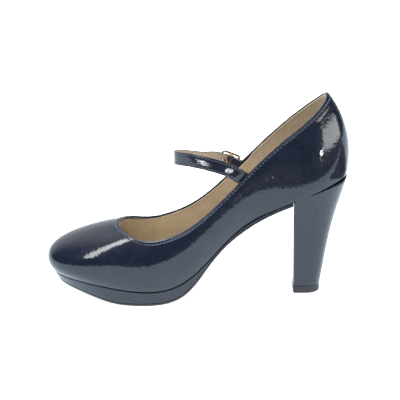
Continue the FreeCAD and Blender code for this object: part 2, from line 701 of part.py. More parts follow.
def strap_frames():
    """Middle point, width direction and outward direction at each station of the strap."""
    frames = []
    last = len(STRAP_PATH) - 1
    for i, (place, lean) in enumerate(STRAP_PATH):
        along = (STRAP_PATH[min(i + 1, last)][0] - STRAP_PATH[max(i - 1, 0)][0]).normalize()
        width = Vector(lean, 0, 1).normalize()
        out = width.cross(along).normalize()
        frames.append((place, along.cross(out).normalize(), out))
    return frames


def ruled_face(rail, other):
    """Face between two rails that were interpolated over the same parameters."""
    surface = Part.BSplineSurface()
    poles = [list(pair) for pair in zip(rail.getPoles(), other.getPoles())]
    surface.buildFromPolesMultsKnots(poles, rail.getMultiplicities(), [2, 2], rail.getKnots(), [0, 1],
                                     False, False, 3, 1)
    return surface.toShape()


def strap_band(half_low, half_high, low, high):
    """Solid band along the strap between two places across its width and two heights off its middle."""
    frames = strap_frames()
    rails = []
    for side, height in ((half_low, low), (half_high, low), (half_high, high), (half_low, high)):
        rail = Part.BSplineCurve()
        rail.interpolate(Points=[place + width * side + out * height for place, width, out in frames],
                         Parameters=[float(i) for i in range(len(frames))])
        rails.append(rail)
    faces = [ruled_face(rails[i], rails[(i + 1) % 4]) for i in range(4)]
    for end, turn in ((0, 1), (-1, -1)):
        corners = [rail.getPoles()[end] for rail in rails][::turn]
        faces.append(Part.Face(Part.makePolygon(corners + corners[:1])))
    return closed_solid(faces)


half_strap = 0.5 * size("strap_width")
leather_top = size("strap_leather")
strap_blank = feature("StrapBlank", strap_band(-half_strap, half_strap, SUNK, leather_top))
strap_lining_blank = feature("StrapLiningBlank",
                             strap_band(-half_strap, half_strap, -size("strap_lining"), -SUNK))
WALL_CLEARANCE = 0.35
wall_block = feature("WallBlock", wall_layer(-WALL_CLEARANCE, lining_in + WALL_CLEARANCE, 0.5, 1.0))

# Holes for the prong: a slot where it goes through now, and a round hole nearer the free end.
HOLE_RADIUS = 1.0
HOLE_REACH = 6.0                 # half the length of the tools that cut them
SLOT_START, SLOT_END = -5.8, 1.8
SPARE_HOLE = 13.2


def strap_hole(back):
    """Cylinder through the strap at a distance along it from the buckle."""
    hole = doc.addObject("Part::Cylinder", "StrapHole")
    hole.Radius, hole.Height = HOLE_RADIUS, 2 * HOLE_REACH
    hole.Placement = Placement(at_buckle(back, -HOLE_REACH), Rotation(Vector(0, 0, 1), outwards))
    return hole


slot_box = doc.addObject("Part::Box", "ProngSlot")
slot_box.Length, slot_box.Width, slot_box.Height = SLOT_END - SLOT_START, 2 * HOLE_RADIUS, 2 * HOLE_REACH
slot_box.Placement = Placement(at_buckle(SLOT_END, -HOLE_REACH, -HOLE_RADIUS), buckle_turn)
strap_cutters = group("StrapCutters", [strap_hole(back) for back in (SLOT_START, SLOT_END, SPARE_HOLE)]
                      + [slot_box, wall_block])
node(cut("Strap", strap_blank, strap_cutters), "strap")
node(cut("StrapLining", strap_lining_blank, strap_cutters), "strap_lining")

THREAD_INSET, THREAD_WIDTH = 1.5, 0.5
rows = []
for side in (-1, 1):
    edges = sorted((side * (half_strap - THREAD_INSET), side * (half_strap - THREAD_INSET - THREAD_WIDTH)))
    rows.append(feature("StrapThreadRow",
                        strap_band(edges[0], edges[1], leather_top + SUNK, leather_top + size("bead"))))
node(cut("StrapThread", group("StrapThreadRows", rows), wall_block), "strap_thread")

# ---------------------------------------------------------------- buckle
FRAME_OUT = 0.55                 # middle of the frame, outwards from the strap's plane
frame_place = Placement(at_buckle(0, FRAME_OUT), buckle_turn)


def rectangle(half_x, half_y, centre_y=0.0):
    """Four lines of a rectangle about (0, centre_y)."""
    low, high = centre_y - half_y, centre_y + half_y
    corners = [Vector(x, y, 0) for x, y in ((-half_x, low), (half_x, low), (half_x, high), (-half_x, high))]
    return [Part.LineSegment(corners[i], corners[(i + 1) % 4]) for i in range(4)]


frame = doc.addObject("PartDesign::Body", "BuckleFrameBody")
half_long, half_wide = 0.5 * size("frame_length"), 0.5 * size("frame_width")
bar = size("frame_bar")
outline = body_sketch(frame, "FrameOutline", "XY_Plane",
                      rectangle(half_long, half_wide) + rectangle(half_long - bar, half_wide - bar))
frame_pad = pad(frame, "FramePad", outline, "{frame_sheet}", midplane=True)
doc.recompute()
round_edges(frame, "FrameRound", frame_pad, lambda edge: abs(edge.CenterOfMass.y) > half_wide - 0.1,
            "{frame_corner}")
doc.recompute()
LUG_HALF = 1.4                   # half-length of the lugs that hold the bar
lugs = body_sketch(frame, "Lugs", "XY_Plane",
                   rectangle(LUG_HALF, 0.5 * bar, half_wide - 0.5 * bar)
                   + rectangle(LUG_HALF, 0.5 * bar, 0.5 * bar - half_wide))
pad(frame, "LugPad", lugs, "{bar_drop} + {bar_radius}", reverse=True)
bar_circle = body_sketch(frame, "BarCircle", "XZ_Plane",
                         [Part.Circle(Vector(0, -size("bar_drop"), 0), Vector(0, 0, 1), size("bar_radius"))])
bar_pad = pad(frame, "BarPad", bar_circle, "{frame_width} - {frame_bar}", midplane=True)
doc.recompute()
frame.Tip = bar_pad
frame.Placement = frame_place
node(frame, "buckle_frame")

# The prong: a wire ring round the bar, and a bent wire that rests on the frame's front bar.
BAR_OUT = FRAME_OUT - size("bar_drop")
PRONG_PLAY = size("prong_play")
prong_radius = size("prong_radius")
ring_radius = size("bar_radius") + prong_radius + PRONG_PLAY
prong_ring = doc.addObject("Part::Torus", "ProngRing")
prong_ring.Radius1 = ring_radius
bind(prong_ring, "Radius2", "{prong_radius}")
prong_ring.Placement = Placement(at_buckle(0, BAR_OUT), Rotation(Vector(0, 0, 1), across))
rest_out = FRAME_OUT + 0.5 * size("frame_sheet") + prong_radius + PRONG_PLAY
wire_points = [at_buckle(-ring_radius, BAR_OUT + 0.3), at_buckle(-4.4, 1.45), at_buckle(-7.0, rest_out),
               at_buckle(-10.2, rest_out - 0.25)]
wire_path = Part.BSplineCurve()
wire_path.interpolate(wire_points)
wire_spine = Part.Wire([wire_path.toShape()])
wire_start = wire_path.tangent(wire_path.FirstParameter)[0]
wire_section = Part.Wire([Part.Circle(wire_points[0], wire_start, prong_radius).toShape()])
prong_wire = feature("ProngWire", wire_spine.makePipeShell([wire_section], True, True))
prong_tip = doc.addObject("Part::Sphere", "ProngTip")
bind(prong_tip, "Radius", "{prong_radius}")
prong_tip.Placement.Base = wire_points[-1]
node(fuse("BuckleProng", [prong_ring, prong_wire, prong_tip]), "buckle_prong")

# The tab: leather folded round the bar, both layers running back to the collar.
TAB_PLAY = 0.25                  # between the bar and the leather round it
NECK = (3.0, -2.35)              # back, out: where the outer layer leaves the loop's curve
TAIL = ((8.0, -4.7), (8.2, -5.6))
LOOP_TOP, LOOP_BOTTOM = 0.6, -0.2
PRONG_GAP = (7.2, 1.9, 12.0)     # slot for the prong's ring: along the strap, across it, and outwards
GAP_BACK, GAP_LOW = 3.2, 5.0     # how far it reaches behind the bar, and below it


def tab_profile():
    """Outline of the folded tab, seen along the bar: a loop round the bar with a flat double tail."""
    inner = size("bar_radius") + TAB_PLAY
    outer = inner + size("tab_leather")
    loop_top, loop_bottom = at_buckle(LOOP_TOP, BAR_OUT + outer), at_buckle(LOOP_BOTTOM, BAR_OUT - outer)
    corners = [loop_top, at_buckle(*NECK), at_buckle(*TAIL[0]), at_buckle(*TAIL[1]), loop_bottom]
    edges = [Part.Arc(loop_bottom, at_buckle(-outer, BAR_OUT), loop_top).toShape()]
    edges += [Part.makeLine(start, end) for start, end in zip(corners, corners[1:])]
    hole = Part.Face(Part.Wire([Part.Circle(at_buckle(0, BAR_OUT), across, inner).toShape()]))
    return Part.Face(Part.Wire(edges)).cut(hole)


tab_solid = tab_profile().extrude(across * size("tab_width"))
tab_solid.translate(across * -0.5 * size("tab_width"))
tab_blank = feature("TabBlank", tab_solid)
prong_gap = block("ProngGap", (0, 0, 0), PRONG_GAP)
prong_gap.Placement = Placement(at_buckle(GAP_BACK, BAR_OUT - GAP_LOW, -0.5 * PRONG_GAP[1]), buckle_turn)
tab_cutters = group("TabCutters", [prong_gap, wall_block])
node(cut("BuckleTab", tab_blank, tab_cutters), "buckle_tab")

# ---------------------------------------------------------------- check and write
doc.recompute()
problems = []
for item in doc.Objects:
    if "Invalid" in item.State or "Error" in item.State:
        problems.append("%s is in state %s" % (item.Label, item.State))
for item in NODES:
    shape = item.Shape
    if shape.isNull() or not shape.isValid() or not shape.Solids:
        problems.append("%s has no valid solid" % item.Label)
if problems:
    raise RuntimeError("; ".join(problems))

os.makedirs("parts", exist_ok=True)
for item in NODES:
    box = item.Shape.optimalBoundingBox(False)
    print("%-16s %2d solids %9.1f mm3  x %7.1f %7.1f  y %6.1f %6.1f  z %6.1f %6.1f" % (
        item.Label, len(item.Shape.Solids), item.Shape.Volume,
        box.XMin, box.XMax, box.YMin, box.YMax, box.ZMin, box.ZMax))
    item.Shape.exportStep("parts/%s.step" % item.Label)
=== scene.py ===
"""Looks of the high heel pump: patent leather, linings, stitches, sole, heel and buckle.

The shapes repeat the design's own rings and paths in millimetres, and mesh_piece turns them to metres.
+Z is up, -X points to the toe, -Y is the inner side of the foot, and the origin is on the ground, under
the heel tip's pin.
"""
import itertools
import json
import math

import bmesh
import bpy
import numpy as np
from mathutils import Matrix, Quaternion, Vector


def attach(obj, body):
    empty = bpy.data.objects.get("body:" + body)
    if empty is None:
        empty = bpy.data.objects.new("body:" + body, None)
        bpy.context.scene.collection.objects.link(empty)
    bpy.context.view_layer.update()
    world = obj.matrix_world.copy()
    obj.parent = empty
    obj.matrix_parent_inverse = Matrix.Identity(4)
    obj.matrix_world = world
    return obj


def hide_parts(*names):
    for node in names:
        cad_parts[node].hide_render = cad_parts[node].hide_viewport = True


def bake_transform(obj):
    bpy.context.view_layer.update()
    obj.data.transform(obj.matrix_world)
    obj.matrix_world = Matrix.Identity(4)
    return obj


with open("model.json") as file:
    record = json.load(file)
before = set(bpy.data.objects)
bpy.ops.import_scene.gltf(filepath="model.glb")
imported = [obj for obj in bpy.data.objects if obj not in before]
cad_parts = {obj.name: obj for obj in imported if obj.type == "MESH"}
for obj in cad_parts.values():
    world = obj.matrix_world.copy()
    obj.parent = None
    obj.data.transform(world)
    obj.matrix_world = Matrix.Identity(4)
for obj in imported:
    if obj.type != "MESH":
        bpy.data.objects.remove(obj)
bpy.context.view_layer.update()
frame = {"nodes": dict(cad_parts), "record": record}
MM = 0.001


# ---- curves
def natural_spline(knots):
    """The natural cubic spline through (x, value) knots, straight beyond its ends."""
    xs, ys = np.array(knots, float).T
    gap = np.diff(xs)
    last = len(xs) - 1
    system = np.eye(last + 1)
    right = np.zeros(last + 1)
    for i in range(1, last):
        system[i, i - 1:i + 2] = gap[i - 1], 2 * (gap[i - 1] + gap[i]), gap[i]
        right[i] = 6 * ((ys[i + 1] - ys[i]) / gap[i] - (ys[i] - ys[i - 1]) / gap[i - 1])
    bend = np.linalg.solve(system, right)
    first_slope = (ys[1] - ys[0]) / gap[0] - gap[0] * bend[1] / 6
    last_slope = (ys[-1] - ys[-2]) / gap[-1] + gap[-1] * bend[-2] / 6

    def value(x):
        x = np.asarray(x, float)
        inside = np.clip(x, xs[0], xs[-1])
        i = np.clip(np.searchsorted(xs, inside) - 1, 0, last - 1)
        after, before = xs[i + 1] - inside, inside - xs[i]
        height = (bend[i] * after ** 3 + bend[i + 1] * before ** 3) / (6 * gap[i])
        height += (ys[i] / gap[i] - bend[i] * gap[i] / 6) * after
        height += (ys[i + 1] / gap[i] - bend[i + 1] * gap[i] / 6) * before
        return height + first_slope * np.minimum(x - xs[0], 0) + last_slope * np.maximum(x - xs[-1], 0)
    return value


def ring_curve(points):
    """The closed uniform cubic B-spline through the points, as a function of t counted in points."""
    points = np.array(points, float)
    count = len(points)
    system = np.zeros((count, count))
    for i in range(count):
        for neighbour, share in ((i - 1, 1 / 6), (i, 4 / 6), (i + 1, 1 / 6)):
            system[i, neighbour % count] = share
    poles = np.linalg.solve(system, points)

    def value(t):
        t = np.asarray(t, float)
        i = np.floor(t).astype(int)
        f = (t - i)[..., None]
        weights = ((1 - f) ** 3 / 6, (3 * f ** 3 - 6 * f ** 2 + 4) / 6,
                   (-3 * f ** 3 + 3 * f ** 2 + 3 * f + 1) / 6, f ** 3 / 6)
        return sum(poles[(i - 1 + k) % count] * weight for k, weight in enumerate(weights))
    return value


def unit(vectors):
    return vectors / np.linalg.norm(vectors, axis=-1, keepdims=True)


def distance_along(path):
    """Distance of each point of a path from its start."""
    return np.concatenate([[0], np.cumsum(np.linalg.norm(np.diff(path, axis=0), axis=1))])


def through_knots(knots, knot_places, places):
    """Points at the given places of the natural splines through the rows of knots."""
    columns = [natural_spline(np.stack([knot_places, column], axis=1))(places) for column in knots.T]
    return np.stack(columns, axis=1)


def smooth_path(knots, steps):
    """Even places along the knots, by distance, and the points of the smooth curve there."""
    travel = distance_along(knots)
    places = np.linspace(0, travel[-1], steps)
    return places, through_knots(knots, travel, places)


def smooth_step(x, low, high):
    """0 below low, 1 above high, and smooth between."""
    share = np.clip((x - low) / (high - low), 0, 1)
    return share * share * (3 - 2 * share)


def bell(x, middle, width):
    """A round bump of height 1."""
    return np.exp(-((x - middle) / width) ** 2)


# ---- the shoe's lines, in millimetres
seat = natural_spline([(-193, 20.5), (-165, 17.6), (-135, 12.8), (-112, 11.9), (-92, 18), (-72, 35.5),
                       (-50, 57.2), (-25, 72), (0, 83.2), (15, 88.8), (30.5, 93.8)])
tread = natural_spline([(-193, 12.8), (-176, 9.0), (-161.5, 4.9), (-147, 1.3), (-134, 0.15), (-123, 0),
                        (-112, 0.3), (-101, 2.4), (-92, 7.0), (-84, 14.9), (-75, 26.7), (-64, 39.9),
                        (-48, 53.9), (-24, 69), (-8, 76.5)])
sole_lean = natural_spline([(-193, 0.5), (-175, 0.42), (-150, 0.2), (-120, 0.05), (-90, 0.02), (-70, 0),
                            (-30, 0), (30, 0)])

# Stations from toe to heel back, medial and lateral; toe and heel back have one point.
FEATHER = [((-195, -4),), ((-188.8, -20.5), (-187.8, 14)), ((-168, -33), (-165, 28)),
           ((-142, -37.5), (-138, 36)), ((-114, -36.5), (-108, 39.5)), ((-87, -29.5), (-80, 34)),
           ((-60, -22), (-56, 27.5)), ((-34, -20.5), (-32, 25)), ((-10, -22.5), (-9, 24)),
           ((16, -18.5), (16, 18.5)), ((30.3, 0),)]
TOPLINE = [((-143.3, -1, 54.9),), ((-140, -12.3, 53), (-139.5, 11.5, 54.8)),
           ((-131.5, -22.2, 50.6), (-131.8, 21.5, 52)), ((-119, -27, 49.6), (-119, 26.8, 50.2)),
           ((-102, -28.3, 54.4), (-102, 28.5, 54.2)), ((-83, -27, 65), (-83, 27.2, 64.4)),
           ((-61, -24, 85.5), (-61, 24.6, 84.6)), ((-38, -22, 109.5), (-38, 21.8, 109.2)),
           ((-14, -19.8, 131.2), (-14, 19, 133)), ((7, -13, 148.4), (7, 12.4, 151.6)),
           ((15, 0, 158.8),)]
# Bezier handles of each station: along x, outwards in y, and up as a share of the wall's height.
LOWER_HANDLE = [(-16, 0, 0.61), (-13.5, 10, 0.58), (-9, 11, 0.52), (-4, 9, 0.50), (-1, 7, 0.42),
                (0, 5, 0.36), (0, 4.5, 0.33), (0, 4, 0.33), (1, 4, 0.33), (3, 5, 0.33), (4.6, 0, 0.33)]
UPPER_HANDLE = [(-30, 0, -0.18), (-24.5, 3, -0.14), (-15, 10, -0.10), (-6, 9, -0.25), (-2, 7, -0.33),
                (0, 5, -0.33), (0, 4.5, -0.33), (0, 4, -0.33), (2, 4, -0.33), (8.2, 5, -0.32),
                (15.8, 0, -0.3)]
AROUND = 2.0 * len(FEATHER) - 2          # t goes from 0 at the toe over the medial side to AROUND
HEEL_T = AROUND / 2                      # t at the back of the heel


def control_rings():
    """Feather, lower handle, upper handle and topline rings, medial side first."""
    medial, lateral = [], []
    for feather, topline, low, high in zip(FEATHER, TOPLINE, LOWER_HANDLE, UPPER_HANDLE):
        for side, stations, outwards in ((0, medial, -1), (-1, lateral, 1)):
            foot = np.array([*feather[side], seat(feather[side][0])], float)
            top = np.array(topline[side], float)
            height = top[2] - foot[2]
            stations.append((foot, foot + (low[0], outwards * low[1], low[2] * height),
                             top + (high[0], outwards * high[1], high[2] * height), top))
    return zip(*(medial + lateral[-2:0:-1]))


def fine_ring(points, on_seat):
    """The ring through its points and the places halfway between them, with the feather line on the seat."""
    halves = ring_curve(points)(np.arange(0, AROUND, 0.5))
    if on_seat:
        halves[:, 2] = seat(halves[:, 0])
    curve = ring_curve(halves)
    return lambda t: curve(2 * np.asarray(t, float))


RINGS = [fine_ring(ring, number == 0) for number, ring in enumerate(control_rings())]


def wall(t, v):
    """Outer surface of the upper: t round the shoe, v from 0 at the feather line to 1 at the topline."""
    v = np.asarray(v, float)[..., None]
    weights = ((1 - v) ** 3, 3 * v * (1 - v) ** 2, 3 * v * v * (1 - v), v ** 3)
    return sum(ring(t) * weight for ring, weight in zip(RINGS, weights))


def wall_frame(t, v):
    """Point of the outer surface, unit vectors inwards and up the wall, and millimetres per unit of v."""
    step = 1e-4
    around = wall(t + step, v) - wall(t - step, v)
    up = (wall(t, v + step) - wall(t, v - step)) / (2 * step)
    return wall(t, v), unit(np.cross(up, around)), unit(up), np.linalg.norm(up, axis=-1)


def wall_height(t):
    """Millimetres per unit of v at the topline, which is about the wall's height."""
    return wall_frame(t, np.ones_like(t))[3]


def below_topline(t, distance):
    """v of the place that far under the topline."""
    return 1 - distance / wall_height(t)


def off_wall(t, v, depth):
    """Point moved inwards from the outer surface."""
    point, inwards, _, _ = wall_frame(t, v)
    return point + inwards * np.asarray(depth)[..., None]


def plan_inwards(t):
    """Feather point and the horizontal unit vector from it towards the foot."""
    along = RINGS[0](t + 1e-3) - RINGS[0](t - 1e-3)
    return RINGS[0](t), unit(np.stack([-along[..., 1], along[..., 0], 0 * along[..., 0]], axis=-1))


def sole_side(t, level_of, inset):
    """Point of the leaning sole side, set in by inset, at the height that level_of gives for its own x."""
    foot, inwards = plan_inwards(t)
    inset = np.asarray(inset, float)
    x = foot[..., 0]
    for _ in range(6):
        z = level_of(x)
        shift = (inset - sole_lean(foot[..., 0]) * (z - foot[..., 2]))[..., None]
        point = foot + inwards * shift
        x = point[..., 0]
    return np.stack([point[..., 0], point[..., 1], z], axis=-1)


# ---- mesh helpers
def grid_faces(rows, columns, ring, tube):
    """Quads of a grid whose first direction may close (ring) and whose second may close (tube)."""
    index = np.arange(rows * columns).reshape(rows, columns)
    if ring:
        index = np.vstack([index, index[:1]])
    if tube:
        index = np.hstack([index, index[:, :1]])
    return np.stack([index[:-1, :-1], index[1:, :-1], index[1:, 1:], index[:-1, 1:]], axis=-1).reshape(-1, 4)


def mesh_piece(name, points, faces, body, slot, replaces=(), sharp=None, material=None):
    """An object from points in millimetres that rides on a body and has its slot's finish or another."""
    mesh = bpy.data.meshes.new(name)
    corners = (np.reshape(points, (-1, 3)) * MM).tolist()
    mesh.from_pydata(corners, [], [list(map(int, face)) for face in faces])
    shape = bmesh.new()
    shape.from_mesh(mesh)
    bmesh.ops.remove_doubles(shape, verts=shape.verts, dist=1e-6)
    bmesh.ops.recalc_face_normals(shape, faces=shape.faces)
    shape.to_mesh(mesh)
    shape.free()
    mesh.shade_smooth()
    if sharp:
        mesh.set_sharp_from_angle(angle=math.radians(sharp))
    mesh.materials.append(material or SURFACES[slot])
    piece = bpy.data.objects.new(name, mesh)
    bpy.context.scene.collection.objects.link(piece)
    if replaces:
        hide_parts(*replaces)
    if body:
        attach(piece, body)
    return piece


def grid_piece(name, points, body, slot, ring=False, tube=False, caps=False, replaces=(), sharp=None):
    """A piece from a grid of points (rows, columns, 3); caps closes the ends of a tube."""
    rows, columns = points.shape[:2]
    faces = grid_faces(rows, columns, ring, tube).tolist()
    if caps:
        faces += [list(range(columns))[::-1], list(range((rows - 1) * columns, rows * columns))]
    return mesh_piece(name, points, faces, body, slot, replaces, sharp)


def stitch_row(name, path, normals, body, material, length, gap, radius, closed=False):
    """Single stitches along a path: short round threads that rise from the leather and dip back into it."""
    if closed:
        path, normals = np.vstack([path, path[:1]]), np.vstack([normals, normals[:1]])
    travel = distance_along(path)
    count = max(1, int(travel[-1] / (length + gap)))
    pitch = travel[-1] / count
    share = np.linspace(0, 1, 7)
    angle = np.linspace(0, 2 * math.pi, 8, endpoint=False)
    place = (np.arange(count)[:, None] * pitch + 0.5 * gap + share * (pitch - gap)).ravel()

    def between(values, places):
        return np.stack([np.interp(places, travel, column) for column in values.T], axis=1)
    centre = between(path, place)
    up = unit(between(normals, place))
    along = unit(between(path, place + 0.1) - centre + 1e-9)
    side = unit(np.cross(along, up))
    arch = np.tile(np.sin(math.pi * share), count)
    thick = radius * (0.45 + 0.55 * np.sqrt(arch))
    centre = centre + up * ((arch - 0.75) * radius)[:, None]
    loops = (centre[:, None] + side[:, None] * (np.cos(angle) * thick[:, None])[..., None]
             + up[:, None] * (np.sin(angle) * thick[:, None])[..., None])
    faces = []
    per_stitch = len(share) * len(angle)
    tube = grid_faces(len(share), len(angle), False, True)
    ends = [list(range(len(angle)))[::-1], list(range(per_stitch - len(angle), per_stitch))]
    for number in range(count):
        faces += (tube + number * per_stitch).tolist()
        faces += [[corner + number * per_stitch for corner in end] for end in ends]
    return mesh_piece(name, loops, faces, body, "thread", material=material)


def cut_away(piece, cutters):
    """Cuts closed meshes out of a piece and removes them."""
    for cutter in cutters:
        modifier = piece.modifiers.new("cut", "BOOLEAN")
        modifier.object = cutter
        modifier.solver = "EXACT"
    bpy.context.view_layer.update()
    shaped = bpy.data.meshes.new_from_object(piece.evaluated_get(bpy.context.evaluated_depsgraph_get()))
    piece.modifiers.clear()
    piece.data = shaped
    shaped.shade_smooth()
    shaped.set_sharp_from_angle(angle=math.radians(40))
    for cutter in cutters:
        bpy.data.objects.remove(cutter)


# ---- materials
class Finish:
    """A Principled material with colour, roughness and bump from procedural textures in object space."""

    def __init__(self, name, roughness, **sockets):
        self.material = bpy.data.materials.new(name)
        self.material.use_nodes = True
        self.nodes, self.links = self.material.node_tree.nodes, self.material.node_tree.links
        self.shader = self.nodes["Principled BSDF"]
        self.shader.inputs["Roughness"].default_value = roughness
        for socket, value in sockets.items():
            self.shader.inputs[socket.replace("_", " ")].default_value = value
        self.place = self.nodes.new("ShaderNodeTexCoord").outputs["Object"]
        self.normal = None

    def node(self, kind, output, **inputs):
        """An output of a new node, with each input set to a value or linked from another output."""
        node = self.nodes.new("ShaderNode" + kind)
        for name, value in inputs.items():
            socket = node.inputs[name.replace("_", " ")]
            if isinstance(value, bpy.types.NodeSocket):
                self.links.new(value, socket)
            else:
                socket.default_value = value
        return node.outputs[output]

    def noise(self, scale, detail=2.0, stretch=(1, 1, 1)):
        return self.node("TexNoise", "Fac", Vector=self.mapped(stretch), Scale=scale, Detail=detail)

    def cells(self, scale):
        return self.node("TexVoronoi", "Distance", Vector=self.place, Scale=scale)

    def waves(self, scale, turn=(0, 0, 0)):
        return self.node("TexWave", "Fac", Vector=self.mapped(turn=turn), Scale=scale)

    def mapped(self, stretch=(1, 1, 1), turn=(0, 0, 0)):
        """Object coordinates, stretched or turned."""
        if (stretch, turn) == ((1, 1, 1), (0, 0, 0)):
            return self.place
        return self.node("Mapping", "Vector", Vector=self.place, Scale=stretch, Rotation=turn)

    def spread(self, value, low, high):
        """The value's middle range, moved to run from low to high."""
        return self.node("MapRange", "Result", Value=value, From_Min=0.3, From_Max=0.7, To_Min=low,
                         To_Max=high)

    def colour(self, value, dark, light):
        """Base colour between two colours."""
        node = self.nodes.new("ShaderNodeMix")
        node.data_type = "RGBA"
        node.inputs["A"].default_value = (*dark, 1)
        node.inputs["B"].default_value = (*light, 1)
        self.links.new(self.spread(value, 0, 1), node.inputs["Factor"])
        self.links.new(node.outputs["Result"], self.shader.inputs["Base Color"])

    def rough(self, value, low, high):
        self.links.new(self.spread(value, low, high), self.shader.inputs["Roughness"])

    def bump(self, value, depth):
        """Relief of that depth in millimetres, added to the relief so far."""
        below = {"Normal": self.normal} if self.normal else {}
        self.normal = self.node("Bump", "Normal", Height=value, Distance=depth * MM, **below)
        self.links.new(self.normal, self.shader.inputs["Normal"])
        if self.shader.inputs["Coat Weight"].default_value > 0:
            self.links.new(self.normal, self.shader.inputs["Coat Normal"])


def patent_leather():
    """Navy patent leather: a clear film over a fine pebble grain."""
    finish = Finish("patent_leather", 0.3, Specular_IOR_Level=0.12, Coat_Weight=1.0, Coat_Roughness=0.03,
                    Coat_IOR=1.52)
    finish.colour(finish.noise(60, 3), (0.0065, 0.010, 0.021), (0.0095, 0.014, 0.028))
    finish.rough(finish.noise(240, 2), 0.24, 0.34)
    finish.bump(finish.noise(900, 2), 0.03)
    finish.bump(finish.noise(400, 2), 0.10)
    finish.bump(finish.noise(60, 1), 0.08)
    return finish.material


def lining_leather(name, dark, light):
    """Matt pigskin lining: pores, soft mottling and a dry sheen."""
    finish = Finish(name, 0.6, Sheen_Weight=0.12, Sheen_Roughness=0.5)
    finish.colour(finish.noise(130, 4), dark, light)
    finish.rough(finish.noise(500, 2), 0.5, 0.7)
    finish.bump(finish.cells(1900), 0.05)
    finish.bump(finish.noise(260, 3), 0.09)
    return finish.material


def thread(name, dark, light):
    """Twisted polyester thread."""
    finish = Finish(name, 0.4, Sheen_Weight=0.2)
    finish.colour(finish.noise(1800, 1), dark, light)
    finish.bump(finish.waves(900, (0.6, 0.4, 0.7)), 0.08)
    return finish.material


def outsole_rubber():
    """Satin dark sole rubber with a fine pebble and scuffs."""
    finish = Finish("outsole_rubber", 0.45)
    finish.colour(finish.noise(900, 2), (0.018, 0.019, 0.021), (0.035, 0.036, 0.038))
    finish.rough(finish.noise(90, 3), 0.38, 0.56)
    finish.bump(finish.cells(1100), 0.05)
    return finish.material


def top_piece_rubber():
    """Hard black top piece with uneven gloss and grinding marks."""
    finish = Finish("top_piece_rubber", 0.4)
    finish.colour(finish.noise(700, 2), (0.010, 0.010, 0.011), (0.020, 0.020, 0.022))
    finish.rough(finish.noise(200, 2), 0.32, 0.5)
    finish.bump(finish.noise(300, 2, (0.1, 0.1, 8)), 0.05)
    return finish.material


def gold_plate():
    """Polished pale gold plating with faint wear."""
    finish = Finish("gold_plate", 0.2, Metallic=1.0)
    finish.colour(finish.noise(350, 3), (0.70, 0.43, 0.17), (0.86, 0.58, 0.28))
    finish.rough(finish.noise(500, 3), 0.12, 0.3)
    finish.bump(finish.noise(1600, 2, (1, 0.2, 1)), 0.01)
    return finish.material


def plain_finish(name, dark, light, roughness, scale, depth, metallic=0.0, weave=False):
    """An inner material: mottled colour, uneven roughness and a grain or weave."""
    finish = Finish(name, roughness, Metallic=metallic)
    finish.colour(finish.noise(scale, 3), dark, light)
    finish.rough(finish.noise(scale * 0.4, 2), 0.8 * roughness, min(1.0, 1.2 * roughness))
    if weave:
        finish.bump(finish.waves(scale), depth)
        finish.bump(finish.waves(scale, (0, 0, math.pi / 2)), depth)
    else:
        finish.bump(finish.cells(scale * 2), depth)
    return finish.material


# The navy thread's colour is much lighter than the patent's navy: partly the thread's own tone, partly a
# painted highlight that makes the stitches show as light dashes.
NAVY_THREAD_WITH_PAINTED_HIGHLIGHT = thread("navy_thread_with_painted_highlight", (0.03, 0.045, 0.085), (0.11, 0.14, 0.21))
BOBBIN_THREAD = thread("bobbin_thread", (0.12, 0.075, 0.04), (0.24, 0.16, 0.09))
SURFACES = {
    "tape": plain_finish("cotton_tape", (0.62, 0.58, 0.50), (0.74, 0.70, 0.62), 0.9, 900, 0.1, weave=True),
    "stiffener": plain_finish("stiffener", (0.60, 0.56, 0.47), (0.76, 0.72, 0.62), 0.8, 700, 0.1,
                              weave=True),
    "filler": plain_finish("cork_filler", (0.30, 0.19, 0.10), (0.50, 0.35, 0.21), 0.9, 400, 0.3),
    "foam": plain_finish("foam", (0.72, 0.66, 0.40), (0.84, 0.78, 0.52), 0.9, 900, 0.3),
    "board": plain_finish("fibre_board", (0.42, 0.30, 0.18), (0.55, 0.42, 0.28), 0.8, 600, 0.1),
    "core": plain_finish("platform_foam", (0.09, 0.09, 0.10), (0.14, 0.14, 0.15), 0.6, 800, 0.15),
    "heel_plastic": plain_finish("heel_plastic", (0.58, 0.58, 0.56), (0.68, 0.68, 0.66), 0.45, 300, 0.05),
    "steel": plain_finish("zinc_steel", (0.50, 0.50, 0.52), (0.62, 0.62, 0.64), 0.35, 500, 0.02,
                          metallic=1.0),
    "patent": patent_leather(),
    "lining": lining_leather("lining_leather", (0.40, 0.33, 0.245), (0.49, 0.405, 0.305)),
    # The sock's colour is set much lighter than the lining's: partly the sock's own lighter tone, partly
    # painted light from above.
    "sock": lining_leather("sock_leather_and_painted_light", (0.80, 0.71, 0.56), (0.86, 0.77, 0.62)),
    "thread": NAVY_THREAD_WITH_PAINTED_HIGHLIGHT,
    "outsole": outsole_rubber(),
    "top_piece": top_piece_rubber(),
    "gold": gold_plate(),
}
for subpart in frame["record"]["subparts"]:
    surface = frame["nodes"][subpart["node"]].data
    surface.materials.clear()
    surface.materials.append(SURFACES[subpart["material_slot"]])

# ---- upper
LEATHER = 1.1
EDGE_RADIUS = 0.95                       # the leather folded round its tape along the topline
FEATHER_RADIUS = 0.9
LASTING_MARGIN = 8.0                     # leather turned in under the foot
FINE_BAND = 9.0                          # depth of the closely spaced columns under the topline
SEAM_FROM_EDGE = 3.2                     # the topline's row of stitches
FOLD_DEPTH = 4.6                         # how far the folded edge reaches down inside


def round_stations():
    """Values of t round the shoe, closer together at the back seam."""
    coarse = np.linspace(0, AROUND, 401)[:-1]
    dense = np.arange(HEEL_T - 0.3, HEEL_T + 0.3, 0.012)
    return np.unique(np.round(np.concatenate([coarse, dense]), 4))


def edge_radius(t):
    """Radius of the folded edge, which doubles up at the back peak."""
    return EDGE_RADIUS + 0.55 * bell(np.asarray(t), HEEL_T, 0.42)


